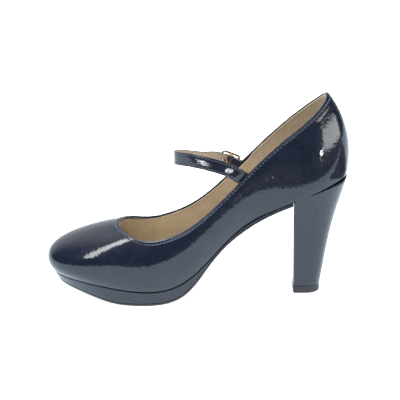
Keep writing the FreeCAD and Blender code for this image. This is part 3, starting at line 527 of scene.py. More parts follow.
def edge_relief(s):
    """Relief of the leather, s millimetres under the edge: puffed band, stitched groove and folded layer."""
    puff = 0.16 * np.sin(math.pi * np.clip((s - EDGE_RADIUS) / 1.5, 0, 1)) ** 2
    groove = -0.26 * bell(s, SEAM_FROM_EDGE, 0.42)
    fold = 0.12 * (1 - smooth_step(s, 3.9, 7.0)) * smooth_step(s, 3.4, 4.1)
    return puff + groove + fold


def back_seam(t, s):
    """The closed seam down the back: a narrow groove between two faint ridges."""
    away = (t - HEEL_T) * 12.0
    return (-0.28 * bell(away, 0, 0.32) + 0.12 * bell(np.abs(away), 0.95, 0.45)) * smooth_step(s, 1.5, 4)


def root_bulge(t, s):
    """Extra depth of the lining where the strap and the buckle's tab are sewn in."""
    x = RINGS[3](t)[..., 0]
    return 1.75 * smooth_step(x, -60, -55) * (1 - smooth_step(x, -45, -40)) * (1 - smooth_step(s, 5, 13))


def topline_columns(t, start, stop, count, power=1.0):
    """Columns (t, s, v) between two distances under the topline."""
    s = start + (stop - start) * np.linspace(0, 1, count) ** power
    t_grid, s_grid = np.meshgrid(t, s, indexing="ij")
    return t_grid, s_grid, below_topline(t_grid, s_grid)


def upper_surface(t, s, v):
    """The patent face with its edge relief."""
    return off_wall(t, v, -edge_relief(s) - back_seam(t, s))


def edge_arc(t, distance, depth, radius, angles):
    """Arc over the top of a folded edge, from its outer to its inner side."""
    v = below_topline(t, distance)
    point, inwards, up, _ = wall_frame(t, v)
    centre = point + inwards * (depth + radius)[:, None]
    arcs = []
    for angle in angles:
        arcs.append(centre + radius[:, None] * (up * math.sin(angle) - inwards * math.cos(angle)))
    return np.stack(arcs, axis=1)


def build_upper():
    """Outer face, folded topline, inner face and lasting margin of the upper, as one closed ring."""
    t = round_stations()
    radius = edge_radius(t)
    low_v = FEATHER_RADIUS / wall_frame(t, np.zeros_like(t))[3]
    top_v = below_topline(t, np.full_like(t, FINE_BAND))
    columns = []
    # the lasting margin and the rounded feather edge
    foot, inwards = plan_inwards(t)
    margin = foot + inwards * LASTING_MARGIN
    margin[:, 2] = seat(margin[:, 0])
    columns.append(margin[:, None])
    point, inwards, up, _ = wall_frame(t, low_v)
    centre = point + inwards * FEATHER_RADIUS
    for angle in np.radians(np.linspace(80, 8, 6)):
        outwards = up * math.sin(angle) + inwards * math.cos(angle)
        columns.append((centre - FEATHER_RADIUS * outwards)[:, None])
    # the face up to the topline
    share = np.linspace(0, 1, 46)
    v = low_v[:, None] + (top_v - low_v)[:, None] * share
    t_grid = np.repeat(t[:, None], len(share), axis=1)
    s_grid = (1 - v) * wall_height(t)[:, None]
    columns.append(upper_surface(t_grid, s_grid, v)[:, :-1])
    columns.append(upper_surface(*topline_columns(t, FINE_BAND, EDGE_RADIUS, 34, 0.8)))
    # the folded edge and the inner side
    over_edge = np.radians(np.linspace(15, 180, 9))
    columns.append(edge_arc(t, np.full_like(t, EDGE_RADIUS), 0 * t, radius, over_edge))
    t_grid, s_grid, v = topline_columns(t, EDGE_RADIUS + 0.6, FOLD_DEPTH, 4)
    columns.append(off_wall(t_grid, v, 2 * radius[:, None] + 0 * s_grid))
    inner_v = np.linspace(0.9, 0.06, 16)
    t_grid, v = np.meshgrid(t, inner_v, indexing="ij")
    columns.append(off_wall(t_grid, v, LEATHER + 0 * v))
    margin_top = margin.copy()
    margin_top[:, 2] += LEATHER
    columns.append(margin_top[:, None])
    grid_piece("upper_leather", np.concatenate(columns, axis=1), "shoe", "patent", ring=True, tube=True,
               replaces=("upper", "topline_tape"))
    seam_v = below_topline(t, np.full_like(t, SEAM_FROM_EDGE))
    path = off_wall(t, seam_v, np.full_like(t, 0.1))
    stitch_row("topline_stitches", path, -wall_frame(t, seam_v)[1], "shoe", NAVY_THREAD_WITH_PAINTED_HIGHLIGHT,
               length=1.95, gap=1.0, radius=0.36, closed=True)


# ---- linings and sock
LINING_GAP = 0.1
LINING_LEATHER = 0.7
LINING_EDGE = 0.75                       # how far the lining stays under the folded edge
LINING_SEAM_T = 7.08                     # where vamp and quarter lining meet
SOCK_LEVEL = 6.8                         # top of the sock above the seat
SOCK_LEATHER = 0.9


def lining_depth(t, s):
    """Depth of the lining's hidden face."""
    return 2 * edge_radius(t) + LINING_GAP + root_bulge(t, s)


def build_lining(name, start, end, lap, replaces):
    """One stretch of lining; lap lifts its ends over the neighbouring piece."""
    t = np.linspace(start, end, 260 if lap == 0 else 150)
    nearest_end = np.minimum(t - start, end - t)
    lift = lap * (1 - smooth_step(nearest_end, 0.1, 0.55))
    scale = wall_height(t)
    lowest = scale * 0.97
    share = np.concatenate([np.linspace(0, 0.2, 14), np.linspace(0.23, 1, 34)])
    s = LINING_EDGE + 0.35 + (lowest[:, None] - LINING_EDGE - 0.35) * share
    t_grid = np.repeat(t[:, None], len(share), axis=1)
    v = 1 - s / scale[:, None]
    hidden = lining_depth(t_grid, s) + lift[:, None]
    groove = 0.12 * bell(s, SEAM_FROM_EDGE + 0.2, 0.4)
    outer = off_wall(t_grid, v, hidden)
    inner = off_wall(t_grid, v, hidden + LINING_LEATHER - groove)
    radius = np.full_like(t, 0.5 * LINING_LEATHER)
    rim = edge_arc(t, s[:, 0], hidden[:, 0], radius, np.radians(np.linspace(15, 165, 6)))
    loops = np.concatenate([outer[:, ::-1], rim, inner], axis=1)
    grid_piece(name, loops, "shoe", "lining", tube=True, caps=True, replaces=replaces, sharp=50)
    seam_s = np.full_like(t, SEAM_FROM_EDGE + 0.2)
    seam_v = 1 - seam_s / scale
    seam_depth = lining_depth(t, seam_s) + lift + LINING_LEATHER - 0.08
    stitch_row(name + "_stitches", off_wall(t, seam_v, seam_depth), wall_frame(t, seam_v)[1], "shoe",
               BOBBIN_THREAD, length=2.0, gap=0.9, radius=0.24)


def lining_seam_stitches():
    """The row that closes the quarter lining over the vamp lining, on both sides."""
    for side, t_seam in (("medial", LINING_SEAM_T + 0.13), ("lateral", AROUND - LINING_SEAM_T - 0.13)):
        v = np.linspace(0.90, 0.16, 60)
        t = np.full_like(v, t_seam)
        s = (1 - v) * wall_height(t)
        depth = lining_depth(t, s) + 0.45 + LINING_LEATHER - 0.03
        stitch_row("lining_seam_" + side, off_wall(t, v, depth), wall_frame(t, v)[1], "shoe",
                   BOBBIN_THREAD, length=2.0, gap=0.9, radius=0.22)


def sock_edge(t):
    """Where the lining's inner face passes the height of the sock."""
    v = np.linspace(0.03, 0.6, 140)
    t_grid, v_grid = np.meshgrid(t, v, indexing="ij")
    s = (1 - v_grid) * wall_height(t)[:, None]
    inner = off_wall(t_grid, v_grid, lining_depth(t_grid, s) + LINING_LEATHER)
    height = inner[..., 2] - seat(inner[..., 0])
    edge = np.empty((len(t), 3))
    for row in range(len(t)):
        first = int(np.argmax(height[row] > SOCK_LEVEL))
        low, high = height[row, first - 1], height[row, first]
        share = (SOCK_LEVEL - low) / (high - low)
        edge[row] = inner[row, first - 1] * (1 - share) + inner[row, first] * share
    return edge


def build_sock():
    """The sock lining: a soft dished sheet from wall to wall."""
    rows = np.linspace(0.02, HEEL_T - 0.02, 150)
    medial, lateral = sock_edge(rows), sock_edge(AROUND - rows)
    across = np.linspace(-1, 1, 33)
    share = 0.5 + 0.5 * np.sin(across * math.pi / 2)
    top = medial[:, None] * (1 - share)[:, None] + lateral[:, None] * share[:, None]
    turned_up = 0.9 * np.abs(across) ** 14
    top[..., 2] = seat(top[..., 0]) + SOCK_LEVEL - 0.5 + turned_up
    bottom = top.copy()
    bottom[..., 2] -= SOCK_LEATHER
    loops = np.concatenate([top, bottom[:, ::-1]], axis=1)
    grid_piece("sock", loops, "shoe", "sock", tube=True, caps=True, replaces=("sock_lining",), sharp=50)


# ---- platform and outsole
OUTSOLE = 1.9
SEAT_GAP = 0.3
SOLE_END_X = -10.6


def sole_end(sign):
    """t, counted from the toe, at which one side of the sole reaches the heel breast."""
    t = np.linspace(6.0, 9.0, 3001)
    x = sole_side(sign * t, seat, np.zeros_like(t))[:, 0]
    return t[int(np.argmax(x > SOLE_END_X))]


def build_platform():
    """The leather round the platform: a wall with both edges turned in."""
    t = np.linspace(-sole_end(-1), sole_end(1), 420)
    low = tread(RINGS[0](t)[:, 0]) + OUTSOLE + 0.1
    high = seat(RINGS[0](t)[:, 0]) - SEAT_GAP
    radius = np.minimum(1.0, 0.42 * (high - low))
    profile = [(5.0, 0.0, 0.0)]
    profile += [(1 - math.sin(a), 1 - math.cos(a), 0.0) for a in np.radians(np.linspace(0, 90, 6))]
    profile += [(0.0, 0.0, share) for share in np.linspace(0.15, 0.85, 8)]
    profile += [(1 - math.cos(a), -1 + math.sin(a), 1.0) for a in np.radians(np.linspace(0, 90, 6))]
    profile += [(5.0, 0.0, 1.0)]
    columns = []
    for inset, rise, share in profile:
        def level(x, rise=rise, share=share):
            bottom, top = tread(x) + OUTSOLE + 0.1, seat(x) - SEAT_GAP
            bend = np.minimum(1.0, 0.42 * (top - bottom))
            if 0 < share < 1:
                return bottom + bend + (top - bottom - 2 * bend) * share
            return bottom + (top - bottom) * share + rise * bend
        columns.append(sole_side(t, level, inset * (radius if inset < 5 else 1.0)))
    grid_piece("platform_leather", np.stack(columns, axis=1), "shoe", "patent",
               replaces=("platform_wrap",), sharp=60)


def build_outsole():
    """The outsole: a rubber sheet with rounded edges, closed across from side to side."""
    rows = np.linspace(0.015, 1, 220) ** 1.15
    medial_t, lateral_t = rows * sole_end(1), -rows * sole_end(-1)
    edge = [(0.75, 0.0), (0.45, 0.06), (0.2, 0.22), (0.06, 0.45), (0.0, 0.75), (0.0, 1.2), (0.06, 1.6),
            (0.3, OUTSOLE)]

    def side(t, inset, rise):
        return sole_side(t, lambda x: tread(x) + rise, 0.25 + inset)

    inner_m, inner_l = side(medial_t, 0.75, 0.0), side(lateral_t, 0.75, 0.0)
    share = np.linspace(0, 1, 26)[1:-1]

    def across(rise, order):
        span = inner_m[:, None] * (1 - share[::order])[:, None] + inner_l[:, None] * share[::order][:, None]
        span[..., 2] = tread(span[..., 0]) + rise
        return span
    medial = [side(medial_t, inset, rise)[:, None] for inset, rise in reversed(edge)]
    lateral = [side(lateral_t, inset, rise)[:, None] for inset, rise in edge]
    loops = np.concatenate(medial + [across(0.0, 1)] + lateral + [across(OUTSOLE, -1)], axis=1)
    grid_piece("outsole_rubber", loops, "shoe", "outsole", tube=True, caps=True, replaces=("outsole",),
               sharp=60)


# ---- heel
heel_breast = natural_spline([(0, -9.0), (30, -9.3), (60, -9.8), (100, -10.5)])
heel_back = natural_spline([(0, 11.5), (6, 12.1), (16, 13.6), (27, 15.3), (45, 18.4), (63, 22.5), (76, 26.3),
                            (88, 29.8), (100, 32.4)])
heel_half = natural_spline([(0, 10.7), (6, 10.75), (27, 11.8), (45, 13.4), (63, 16), (76, 19.2), (88, 23),
                            (100, 27)])
TIP_TOP = 6.1


def heel_outline():
    """Fractions of the half outline from breast to back: (kind, value) as breast, corner, side or back."""
    outline = [("breast", share) for share in np.linspace(0, 1, 8)[:-1]]
    outline += [("corner", angle) for angle in np.radians(np.linspace(0, 90, 7))]
    outline += [("side", share) for share in np.linspace(0, 1, 26)[1:-1] ** 1.7]
    outline += [("back", angle) for angle in np.radians(np.linspace(0, 90, 22))]
    return outline


def heel_point(kind, value, level, inset):
    """(x, y) of the half outline at a level."""
    breast = heel_breast(level) + inset
    back = heel_back(level) - inset
    half = heel_half(level) - inset
    corner = np.maximum(0.8, 2.0 - inset)
    middle = back - np.maximum(half, 1.5 * half - 5.3)
    if kind == "breast":
        return breast, (half - corner) * value
    if kind == "corner":
        return breast + corner * (1 - math.cos(value)), half - corner * (1 - math.sin(value))
    if kind == "side":
        along = (middle - breast - corner) * value
        seam = 0.12 * bell(along, 1.1, 0.4) - 0.05 * bell(along, 0.3, 0.5)
        return breast + corner + along, half - seam
    return middle + (back - middle) * math.sin(value), half * math.cos(value)


def heel_loops(profile, point_of):
    """Closed outlines up the heel; point_of(kind, value, *level) gives a point of the lateral half."""
    half = np.array([[point_of(*place, *level) for level in profile] for place in heel_outline()])
    return np.concatenate([half * (1, -1, 1), half[::-1][1:-1]])


def rounded_profile(radius, steps, levels):
    """Profile with its two rims rounded."""
    angles = np.radians(np.linspace(0, 90, steps))
    profile = [(0.0, 0.0, 3.0)]
    profile += [(0.0, radius * (1 - math.cos(a)), radius * (1 - math.sin(a))) for a in angles]
    profile += [(share, 0.0, 0.0) for share in np.linspace(0.03, 0.97, levels)]
    profile += [(1.0, -radius * (1 - math.sin(a)), radius * (1 - math.cos(a))) for a in angles]
    profile += [(1.0, 0.0, 3.0)]
    return profile


def build_heel():
    """The heel's leather cover, with its seam beside the breast, up to just under the seat."""
    def point_of(kind, value, share, rise, inset):
        top = 80.0
        for _ in range(12):
            top = float(seat(heel_point(kind, value, top, inset)[0]) - 0.05)
        level = TIP_TOP + (top - TIP_TOP) * share + rise
        return *heel_point(kind, value, level, inset), level
    loops = heel_loops(rounded_profile(0.4, 4, 24), point_of)
    grid_piece("heel_leather", loops, "shoe", "patent", ring=True, replaces=("heel_cover",), sharp=60)


def build_top_piece():
    """The top piece: a pad with softened edges under the heel tip."""
    height = TIP_TOP - 0.1
    profile = [(0.0, 4.0), (0.0, 0.55), (0.12, 0.22), (0.35, 0.05), (0.7, 0.0), (3.0, 0.0),
               (height - 0.5, 0.0), (height - 0.12, 0.12), (height, 0.4), (height, 4.0)]

    def point_of(kind, value, level, inset):
        x, y = heel_point(kind, value, 3.0, inset)
        if kind == "side":
            y = heel_half(3.0) - inset
        return x - 0.1, y, level
    loops = heel_loops(profile, point_of)
    rows, columns = loops.shape[:2]
    faces = grid_faces(rows, columns, True, False).tolist()
    bottom = [row * columns for row in range(rows)]
    faces += [bottom, [corner + columns - 1 for corner in reversed(bottom)]]
    mesh_piece("heel_tip", loops, faces, "shoe", "top_piece", ("top_piece",), 50)


# ---- strap
BUCKLE = np.array([-59, 28.3, 94.8])
STRAP_TILT = math.radians(21)
FORWARD = np.array([-math.cos(STRAP_TILT), 0, math.sin(STRAP_TILT)])
ACROSS = np.array([math.sin(STRAP_TILT), 0, math.cos(STRAP_TILT)])
OUTWARDS = np.array([0.0, 1.0, 0.0])


def at_buckle(back, out, side=0.0):
    """Point given in the buckle's axes: towards the strap's free end, outwards, and across."""
    return BUCKLE - FORWARD * back + OUTWARDS * out + ACROSS * side


# The strap's middle line, at the joint of leather and lining, with the lean of its width.
STRAP_PATH = [((-43.6, -18.2, 92.3), 0.50), ((-46.6, -19.2, 95.5), 0.50), ((-50.0, -20.8, 98.7), 0.49),
              ((-54.0, -22.1, 101.6), 0.47), ((-59.5, -22.3, 104.7), 0.40),
              ((-69.0, -20.9, 107.6), 0.25), ((-81.0, -16.8, 109.4), 0.10), ((-91.0, -11.0, 109.4), 0.0),
              ((-98.0, -4.2, 108.2), 0.0), ((-100.0, 2.0, 107.2), 0.0), ((-97.8, 7.6, 105.8), 0.03),
              ((-90.6, 13.3, 103.6), 0.10), ((-80.0, 19.0, 100.7), 0.25)]
STRAP_WEAVE = [(-12.5, -4.4), (-7.0, -2.3), (-3.4, -0.6), (0, 0.75), (3.4, -0.6), (7.0, -2.3), (13.0, -1.3),
               (17.0, -0.7), (21.0, -0.2)]
for back, out in STRAP_WEAVE:
    STRAP_PATH.append((tuple(at_buckle(back, out)), math.tan(STRAP_TILT)))
HALF_STRAP = 5.2
STRAP_LEATHER, STRAP_LINING = 1.0, 0.65
STRAP_TIP = 6.0                          # length of the strap's pointed end
STRAP_SEAM = 1.45                        # stitches, in from the strap's edges
STRAP_HOLES = [(-4.3, 1.4, 0.75), (13.2, 13.2, 1.0)]   # start, end and radius: prong slot, spare hole


class Strap:
    """Frames along the strap: middle point, width direction, outward direction and distance from its tip."""

    def __init__(self, steps):
        number = np.arange(len(STRAP_PATH))
        knots = np.array([(*point, lean) for point, lean in STRAP_PATH])
        curve = through_knots(knots, number, np.linspace(0, number[-1], steps))
        self.middle, lean = curve[:, :3], curve[:, 3]
        along = unit(np.gradient(self.middle, axis=0))
        width = unit(np.stack([lean, 0 * lean, 1 + 0 * lean], axis=1))
        self.out = unit(np.cross(width, along))
        self.width = unit(np.cross(along, self.out))
        self.travel = distance_along(self.middle)
        to_tip = self.travel[-1] - self.travel
        self.half = HALF_STRAP * np.sqrt(np.clip(1 - np.clip(1 - to_tip / STRAP_TIP, 0, 1) ** 2.2, 0.02, 1))

    def loops(self, profile):
        """Cross-sections from (inset from the edge or share of width, height, sign) points."""
        columns = []
        for share, inset, height in profile:
            side = np.sign(share) * np.maximum(np.abs(share) * self.half - inset, 0.02)
            columns.append(self.middle + self.width * side[:, None] + self.out * height)
        return np.stack(columns, axis=1)

    def line(self, side, height, start, end):
        """Path at a fixed place across the strap between two distances along it, with its normals."""
        chosen = (self.travel > start) & (self.travel < end)
        half = side * (self.half - STRAP_SEAM)
        path = self.middle + self.width * half[:, None] + self.out * height
        return path[chosen], self.out[chosen]


def band_profile(low, high, radius, inset, crown=0.0, groove=0.0):
    """Closed section of a flat band: rounded edges, a crowned face and a groove for each row of stitches."""
    corner = np.radians(np.linspace(0, 90, 5))
    right = [(1, inset + radius * (1 - math.sin(a)), low + radius * (1 - math.cos(a))) for a in corner]
    right += [(1, inset + radius * (1 - math.cos(a)), high - radius * (1 - math.sin(a))) for a in corner]
    face = []
    for place in (0.9, STRAP_SEAM - 0.25, STRAP_SEAM, STRAP_SEAM + 0.25, 2.1):
        face.append((1, place, high + 0.4 * crown - groove * bell(place, STRAP_SEAM, 0.3)))
    face += [(share, 0.0, high + crown * (1 - share * share)) for share in (0.5, 0.25)]
    right += face
    left = [(-share, place, height) for share, place, height in reversed(right)]
    return right + left


def hole_cutter(start, end, radius):
    """A closed prism with round ends that cuts through the strap, behind the bar by start to end."""
    angles = np.linspace(0, 2 * math.pi, 28, endpoint=False)
    outline = []
    for angle in angles:
        centre = start if math.cos(angle) < 0 else end
        outline.append((centre + radius * math.cos(angle), radius * math.sin(angle)))
    points = np.array([[at_buckle(back, out, side) for back, side in outline] for out in (-7.0, 6.0)])
    faces = grid_faces(2, len(angles), False, True).tolist()
    faces += [list(range(len(angles)))[::-1], list(range(len(angles), 2 * len(angles)))]
    return mesh_piece("hole", points, faces, None, "patent")


def build_strap():
    """Patent face with folded edges, lining, and a row of stitches along each edge."""
    strap = Strap(330)
    face = strap.loops(band_profile(-0.35, STRAP_LEATHER, 0.5, 0.0, 0.12, 0.16))
    leather = grid_piece("strap_leather", face, None, "patent", tube=True, caps=True,
                         replaces=("strap", "strap_anchor"))
    inside = strap.loops(band_profile(-STRAP_LINING, 0.1, 0.2, 0.45))
    lining = grid_piece("strap_lining_leather", inside, None, "lining", tube=True, caps=True,
                        replaces=("strap_lining",))
    for piece in (leather, lining):
        cut_away(piece, [hole_cutter(*hole) for hole in STRAP_HOLES])
    rows = []
    total = strap.travel[-1]
    for side, label in ((1, "upper"), (-1, "lower")):
        path, normals = strap.line(side, STRAP_LEATHER - 0.02, 7.0, total - 2.2)
        rows.append(stitch_row("strap_stitches_" + label, path, normals, None, NAVY_THREAD_WITH_PAINTED_HIGHLIGHT,
                               length=1.9, gap=0.7, radius=0.27))
        under, under_normals = strap.line(side, -STRAP_LINING + 0.05, 9.0, total - 2.2)
        rows.append(stitch_row("strap_lining_stitches_" + label, under, -under_normals, None,
                               BOBBIN_THREAD, length=1.9, gap=0.8, radius=0.2))
    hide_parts("strap_thread")
    for piece in [leather, lining] + rows:
        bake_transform(piece)


# ---- buckle
FRAME_OUT = 0.55
BAR_OUT = -2.0
FRAME_HALF = (7.75, 7.4)                 # half length along the strap, half width across it
FRAME_BAR = (0.85, 0.8)                  # half width and half thickness of the frame's bars
BAR_RADIUS, PRONG_RADIUS = 0.9, 0.62


def frame_bow(back):
    """The frame is bowed a little, highest over its bar."""
    return 0.45 * (1 - (back / FRAME_HALF[0]) ** 2) - 0.2


def rounded_rectangle(half_x, half_y, radius, steps):
    """Points of a rounded rectangle, even round its corners and along its sides."""
    corners = []
    for number, (sx, sy) in enumerate(((1, 1), (-1, 1), (-1, -1), (1, -1))):
        angles = np.linspace(0, math.pi / 2, steps) + number * math.pi / 2
        middle = np.array([sx * (half_x - radius), sy * (half_y - radius)])
        corners.append(middle + radius * np.stack([np.cos(angles), np.sin(angles)], axis=1))
    points = []
    for corner, following in zip(corners, corners[1:] + corners[:1]):
        points += [corner, np.linspace(corner[-1], following[0], steps + 1)[1:-1]]
    return np.concatenate(points)


def swept_tube(centres, sections_x, sections_y, half_x, half_y, power=1.0):
    """Loops of elliptical sections about centres, with the given axes."""
    angles = np.linspace(0, 2 * math.pi, 16, endpoint=False)
    shape_x = np.sign(np.cos(angles)) * np.abs(np.cos(angles)) ** power
    shape_y = np.sign(np.sin(angles)) * np.abs(np.sin(angles)) ** power
    half_x, half_y = np.broadcast_to(half_x, len(centres)), np.broadcast_to(half_y, len(centres))
    return (centres[:, None] + sections_x[:, None] * (half_x[:, None] * shape_x)[..., None]
            + sections_y[:, None] * (half_y[:, None] * shape_y)[..., None])


def build_buckle_frame():
    """Bowed rectangular frame, its lugs and its centre bar."""
    half_length, half_width = FRAME_HALF[0] - FRAME_BAR[0], FRAME_HALF[1] - FRAME_BAR[0]
    outline = rounded_rectangle(half_length, half_width, 1.9, 9)
    centres = np.array([at_buckle(back, FRAME_OUT + frame_bow(back), side) for back, side in outline])
    along = unit(np.roll(centres, -1, axis=0) - np.roll(centres, 1, axis=0))
    outward = np.tile(OUTWARDS, (len(centres), 1))
    sideways = unit(np.cross(along, outward))
    loops = swept_tube(centres, sideways, unit(np.cross(sideways, along)), *FRAME_BAR, power=0.8)
    grid_piece("buckle_ring", loops, "buckle", "gold", ring=True, tube=True, replaces=("buckle_frame",))
    side = np.linspace(-half_width, half_width, 24)
    lift = 2.2 * smooth_step(np.abs(side), 5.0, 6.4)
    centres = np.array([at_buckle(0, BAR_OUT + up, place) for up, place in zip(lift, side)])
    along = unit(np.gradient(centres, axis=0))
    sideways = unit(np.cross(along, np.tile(FORWARD, (len(centres), 1))))
    loops = swept_tube(centres, sideways, unit(np.cross(sideways, along)), FRAME_BAR[0], FRAME_BAR[0])
    grid_piece("buckle_bar", loops, "buckle", "gold", tube=True, caps=True)


def build_prong():
    """A wire wrapped round the bar that rests on the frame's front bar with a tapered tip."""
    ring = BAR_RADIUS + PRONG_RADIUS + 0.15
    turns = np.radians(np.linspace(-330, -10, 30))
    wrap = [at_buckle(-ring * math.cos(a), BAR_OUT + ring * math.sin(a)) for a in turns[:-1]]
    rest = FRAME_OUT + frame_bow(FRAME_HALF[0] - FRAME_BAR[0]) + FRAME_BAR[1] + PRONG_RADIUS
    nose = [(-2.4, -0.9), (-4.4, 0.9), (-6.2, rest - 0.1), (-7.6, rest), (-9.1, rest - 0.15),
            (-10.2, rest - 0.55)]
    place, centres = smooth_path(np.array(wrap + [at_buckle(*point) for point in nose]), 90)
    along = unit(np.gradient(centres, axis=0))
    sideways = np.tile(ACROSS, (len(centres), 1))
    to_tip = place[-1] - place
    thick = PRONG_RADIUS * (0.75 + 0.25 * smooth_step(to_tip, 0.5, 6))
    thick = thick * np.sqrt(np.clip(to_tip / 0.5, 0.05, 1))
    loops = swept_tube(centres, sideways, unit(np.cross(sideways, along)), thick * 1.1, thick)
    grid_piece("prong_wire", loops, "prong", "gold", tube=True, caps=True, replaces=("buckle_prong",))


def build_tab():
    """Leather folded round the bar, both layers sewn together and tucked into the collar."""
    leather = 0.75
    bend = BAR_RADIUS + 0.3 + leather / 2
    turn = np.radians(np.linspace(110, 250, 18))
    loop = [(math.cos(a) * bend, BAR_OUT + math.sin(a) * bend) for a in turn]
    upper_layer = [(12.0, -6.6), (9.0, -5.1), (6.0, -3.7), (3.0, -2.1), (1.4, -1.0)]
    lower_layer = [(1.4, -3.1), (3.4, -3.5), (6.0, -4.6), (9.0, -5.95), (12.0, -7.4)]
    knots = np.array([at_buckle(*point) for point in upper_layer + loop + lower_layer])
    centres = smooth_path(knots, 90)[1]
    along = unit(np.gradient(centres, axis=0))
    width = np.tile(ACROSS, (len(centres), 1))
    out = unit(np.cross(along, width))
    half = 4.8
    edge = [(half - 0.15, -leather / 2), (half, -0.15), (half, 0.15), (half - 0.15, leather / 2)]
    section = edge + [(share * half, 0.4) for share in (0.72, 0.35, 0, -0.35, -0.72)]
    section += [(-side, height) for side, height in reversed(edge)]
    loops = np.stack([centres + width * side + out * height for side, height in section], axis=1)
    tab = grid_piece("tab_leather", loops, "strap_arm", "patent", tube=True, caps=True,
                     replaces=("buckle_tab", "tab_anchor"), sharp=60)
    # the slot for the prong, where the tab is folded over the bar
    notch = []
    for back, out, side in itertools.product((-3.4, 2.2), (-5.2, 1.5), (-1.0, 1.0)):
        notch.append(at_buckle(back, out, side))
    faces = [(0, 1, 3, 2), (4, 6, 7, 5), (0, 4, 5, 1), (2, 3, 7, 6), (0, 2, 6, 4), (1, 5, 7, 3)]
    cut_away(tab, [mesh_piece("notch", np.array(notch), faces, None, "patent")])
    for side, label in ((-3.7, "lower"), (3.7, "upper")):
        backs = np.linspace(3.2, 9.0, 12)
        outs = np.interp(backs, *zip(*reversed(upper_layer[:4]))) + 0.38
        path = np.array([at_buckle(back, out, side) for back, out in zip(backs, outs)])
        normals = np.tile(OUTWARDS, (len(path), 1))
        stitch_row("tab_stitches_" + label, path, normals, "strap_arm", NAVY_THREAD_WITH_PAINTED_HIGHLIGHT,
                   length=1.7, gap=0.7, radius=0.24)


# ---- stage
FAR = 6.0                                # how far the studio reaches, in metres
TABLE_EDGE = -0.102                      # y of the table's near edge in the shoe's reflections
TABLE_END = 0.165                        # x where the table ends behind the heel in them
# The table cards' bluish glow and the dark cards' black are painted reflections: these cards are seen only
# in reflections, and the table's glow has no lamp behind it.
BLACK, TABLE_REFLECTION_GLOW = (0.02, 0.02, 0.025), (1.32, 1.54, 1.72)


def soft_light(name, place, aim, width, height, radiance, turn=0.0, lights="all"):
    """A rectangular soft box whose face has the given radiance, turned by degrees about its own axis.

    lights is "all", or "matt" to be left out of reflections, or "gloss" to be only in reflections.
    """
    light = bpy.data.lights.new(name, "AREA")
    light.shape = "RECTANGLE"
    light.size, light.size_y = width, height
    light.energy = radiance * math.pi * width * height
    lamp = bpy.data.objects.new(name, light)
    lamp.location = place
    facing = (Vector(aim) - Vector(place)).to_track_quat("-Z", "Y")
    lamp.rotation_euler = (facing @ Quaternion((0, 0, 1), math.radians(turn))).to_euler()
    lamp.visible_glossy = lights != "matt"
    lamp.visible_diffuse = lights != "gloss"
    bpy.context.scene.collection.objects.link(lamp)


def flat_stage(name, corners, colour, glow=(0, 0, 0)):
    """A flat, mottled piece of the studio that may glow."""
    mesh = bpy.data.meshes.new(name)
    mesh.from_pydata(corners, [], [(0, 1, 2, 3)])
    finish = Finish(name, 0.8, Emission_Color=(*glow, 1), Emission_Strength=1.0)
    finish.colour(finish.noise(3, 2), [0.97 * part for part in colour], colour)
    mesh.materials.append(finish.material)
    piece = bpy.data.objects.new(name, mesh)
    bpy.context.scene.collection.objects.link(piece)
    return piece


def reflected_card(name, corners, glow=(0, 0, 0)):
    """A black or glowing card that is seen only in reflections."""
    card = flat_stage(name, corners, BLACK, glow)
    card.visible_camera = card.visible_diffuse = False
    card.visible_shadow = card.visible_transmission = False


def level_corners(low_x, low_y, high_x, high_y, level):
    return [(low_x, low_y, level), (high_x, low_y, level), (high_x, high_y, level), (low_x, high_y, level)]


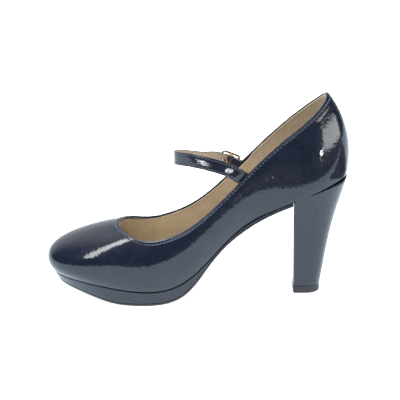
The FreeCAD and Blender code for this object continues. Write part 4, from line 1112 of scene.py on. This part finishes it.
def build_studio():
    """A glowing white floor, soft boxes and a sky that is pale on the far side.

    The patent leather reflects painted cards in place of the floor: a glowing white table with a raised near
    edge, in a dark room.
    Its cards lie a fraction of a millimetre over the floor, each over the one before.
    """
    flat_stage("floor", level_corners(-FAR, -FAR, FAR, FAR, 0.0), (0.88, 0.88, 0.88), (0.8, 0.8, 0.8))
    reflected_card("table", level_corners(-FAR, TABLE_EDGE, FAR, FAR, 0.0004), TABLE_REFLECTION_GLOW)
    reflected_card("dark_room", level_corners(-FAR, -FAR, FAR, TABLE_EDGE, 0.0005))
    reflected_card("dark_end", level_corners(TABLE_END, TABLE_EDGE, FAR, 0.15, 0.0008))
    edge_height = 0.054
    edge = [(-FAR, TABLE_EDGE, 0), (FAR, TABLE_EDGE, 0), (FAR, TABLE_EDGE, edge_height),
            (-FAR, TABLE_EDGE, edge_height)]
    reflected_card("table_edge", edge, TABLE_REFLECTION_GLOW)
    soft_light("overhead", (-0.60, 0.07, 1.3), (-0.30, 0.02, 0), 1.35, 0.25, 9.5, -21)
    soft_light("side", (1.3, -0.75, 0.40), (0, 0, 0.13), 1.6, 0.40, 5.5, lights="gloss")
    for name, x, y, width, depth in (("far_glint", -0.405, -0.35, 0.14, 0.09),
                                     ("near_glint", -0.08, -0.365, 0.07, 0.07)):
        soft_light(name, (x, y, 0.002), (x, y, 1), width, depth, 22, lights="gloss")
    soft_light("spark", (0.70, -1.35, 0.16), (0, 0, 0.115), 0.06, 0.08, 90)
    soft_light("fill", (-0.08, 0.1, 2.2), (-0.08, 0, 0), 3.6, 3.6, 1.7, lights="matt")
    soft_light("inside", (-0.12, -0.3, 1.9), (-0.08, 0, 0.05), 1.0, 1.0, 9.0, lights="matt")
    world = bpy.data.worlds.new("studio")
    bpy.context.scene.world = world
    world.use_nodes = True
    nodes, links = world.node_tree.nodes, world.node_tree.links
    direction = nodes.new("ShaderNodeTexCoord").outputs["Generated"]
    split = nodes.new("ShaderNodeSeparateXYZ")
    links.new(direction, split.inputs["Vector"])
    shade = nodes.new("ShaderNodeMapRange")
    shade.interpolation_type = "SMOOTHSTEP"
    for socket, value in (("From Min", 0.35), ("From Max", 0.75), ("To Min", 0.03), ("To Max", 0.75)):
        shade.inputs[socket].default_value = value
    links.new(split.outputs["Y"], shade.inputs["Value"])
    links.new(shade.outputs["Result"], nodes["Background"].inputs["Strength"])
    nodes["Background"].inputs["Color"].default_value = (0.95, 0.97, 1.0, 1)


def build_camera():
    """The reference view: level with the inner side, 20 degrees above the floor."""
    aim = Vector((-0.0812, 0.0, 0.0730))
    elevation = math.radians(20)
    distance = 1.4
    camera = bpy.data.cameras.new("camera")
    camera.lens = 164.2
    rig = bpy.data.objects.new("camera", camera)
    rig.location = aim + distance * Vector((0, -math.cos(elevation), math.sin(elevation)))
    rig.rotation_euler = (aim - rig.location).to_track_quat("-Z", "Y").to_euler()
    bpy.context.scene.collection.objects.link(rig)
    bpy.context.scene.camera = rig


build_upper()
build_lining("vamp_lining_leather", -LINING_SEAM_T - 0.12, LINING_SEAM_T + 0.12, 0.0, ("vamp_lining",))
build_lining("quarter_lining_leather", LINING_SEAM_T, AROUND - LINING_SEAM_T, 0.45, ("quarter_lining",))
lining_seam_stitches()
build_sock()
build_platform()
build_outsole()
build_heel()
build_top_piece()
build_strap()
build_buckle_frame()
build_prong()
build_tab()
build_studio()
build_camera()
bpy.context.scene.view_settings.view_transform = "Standard"
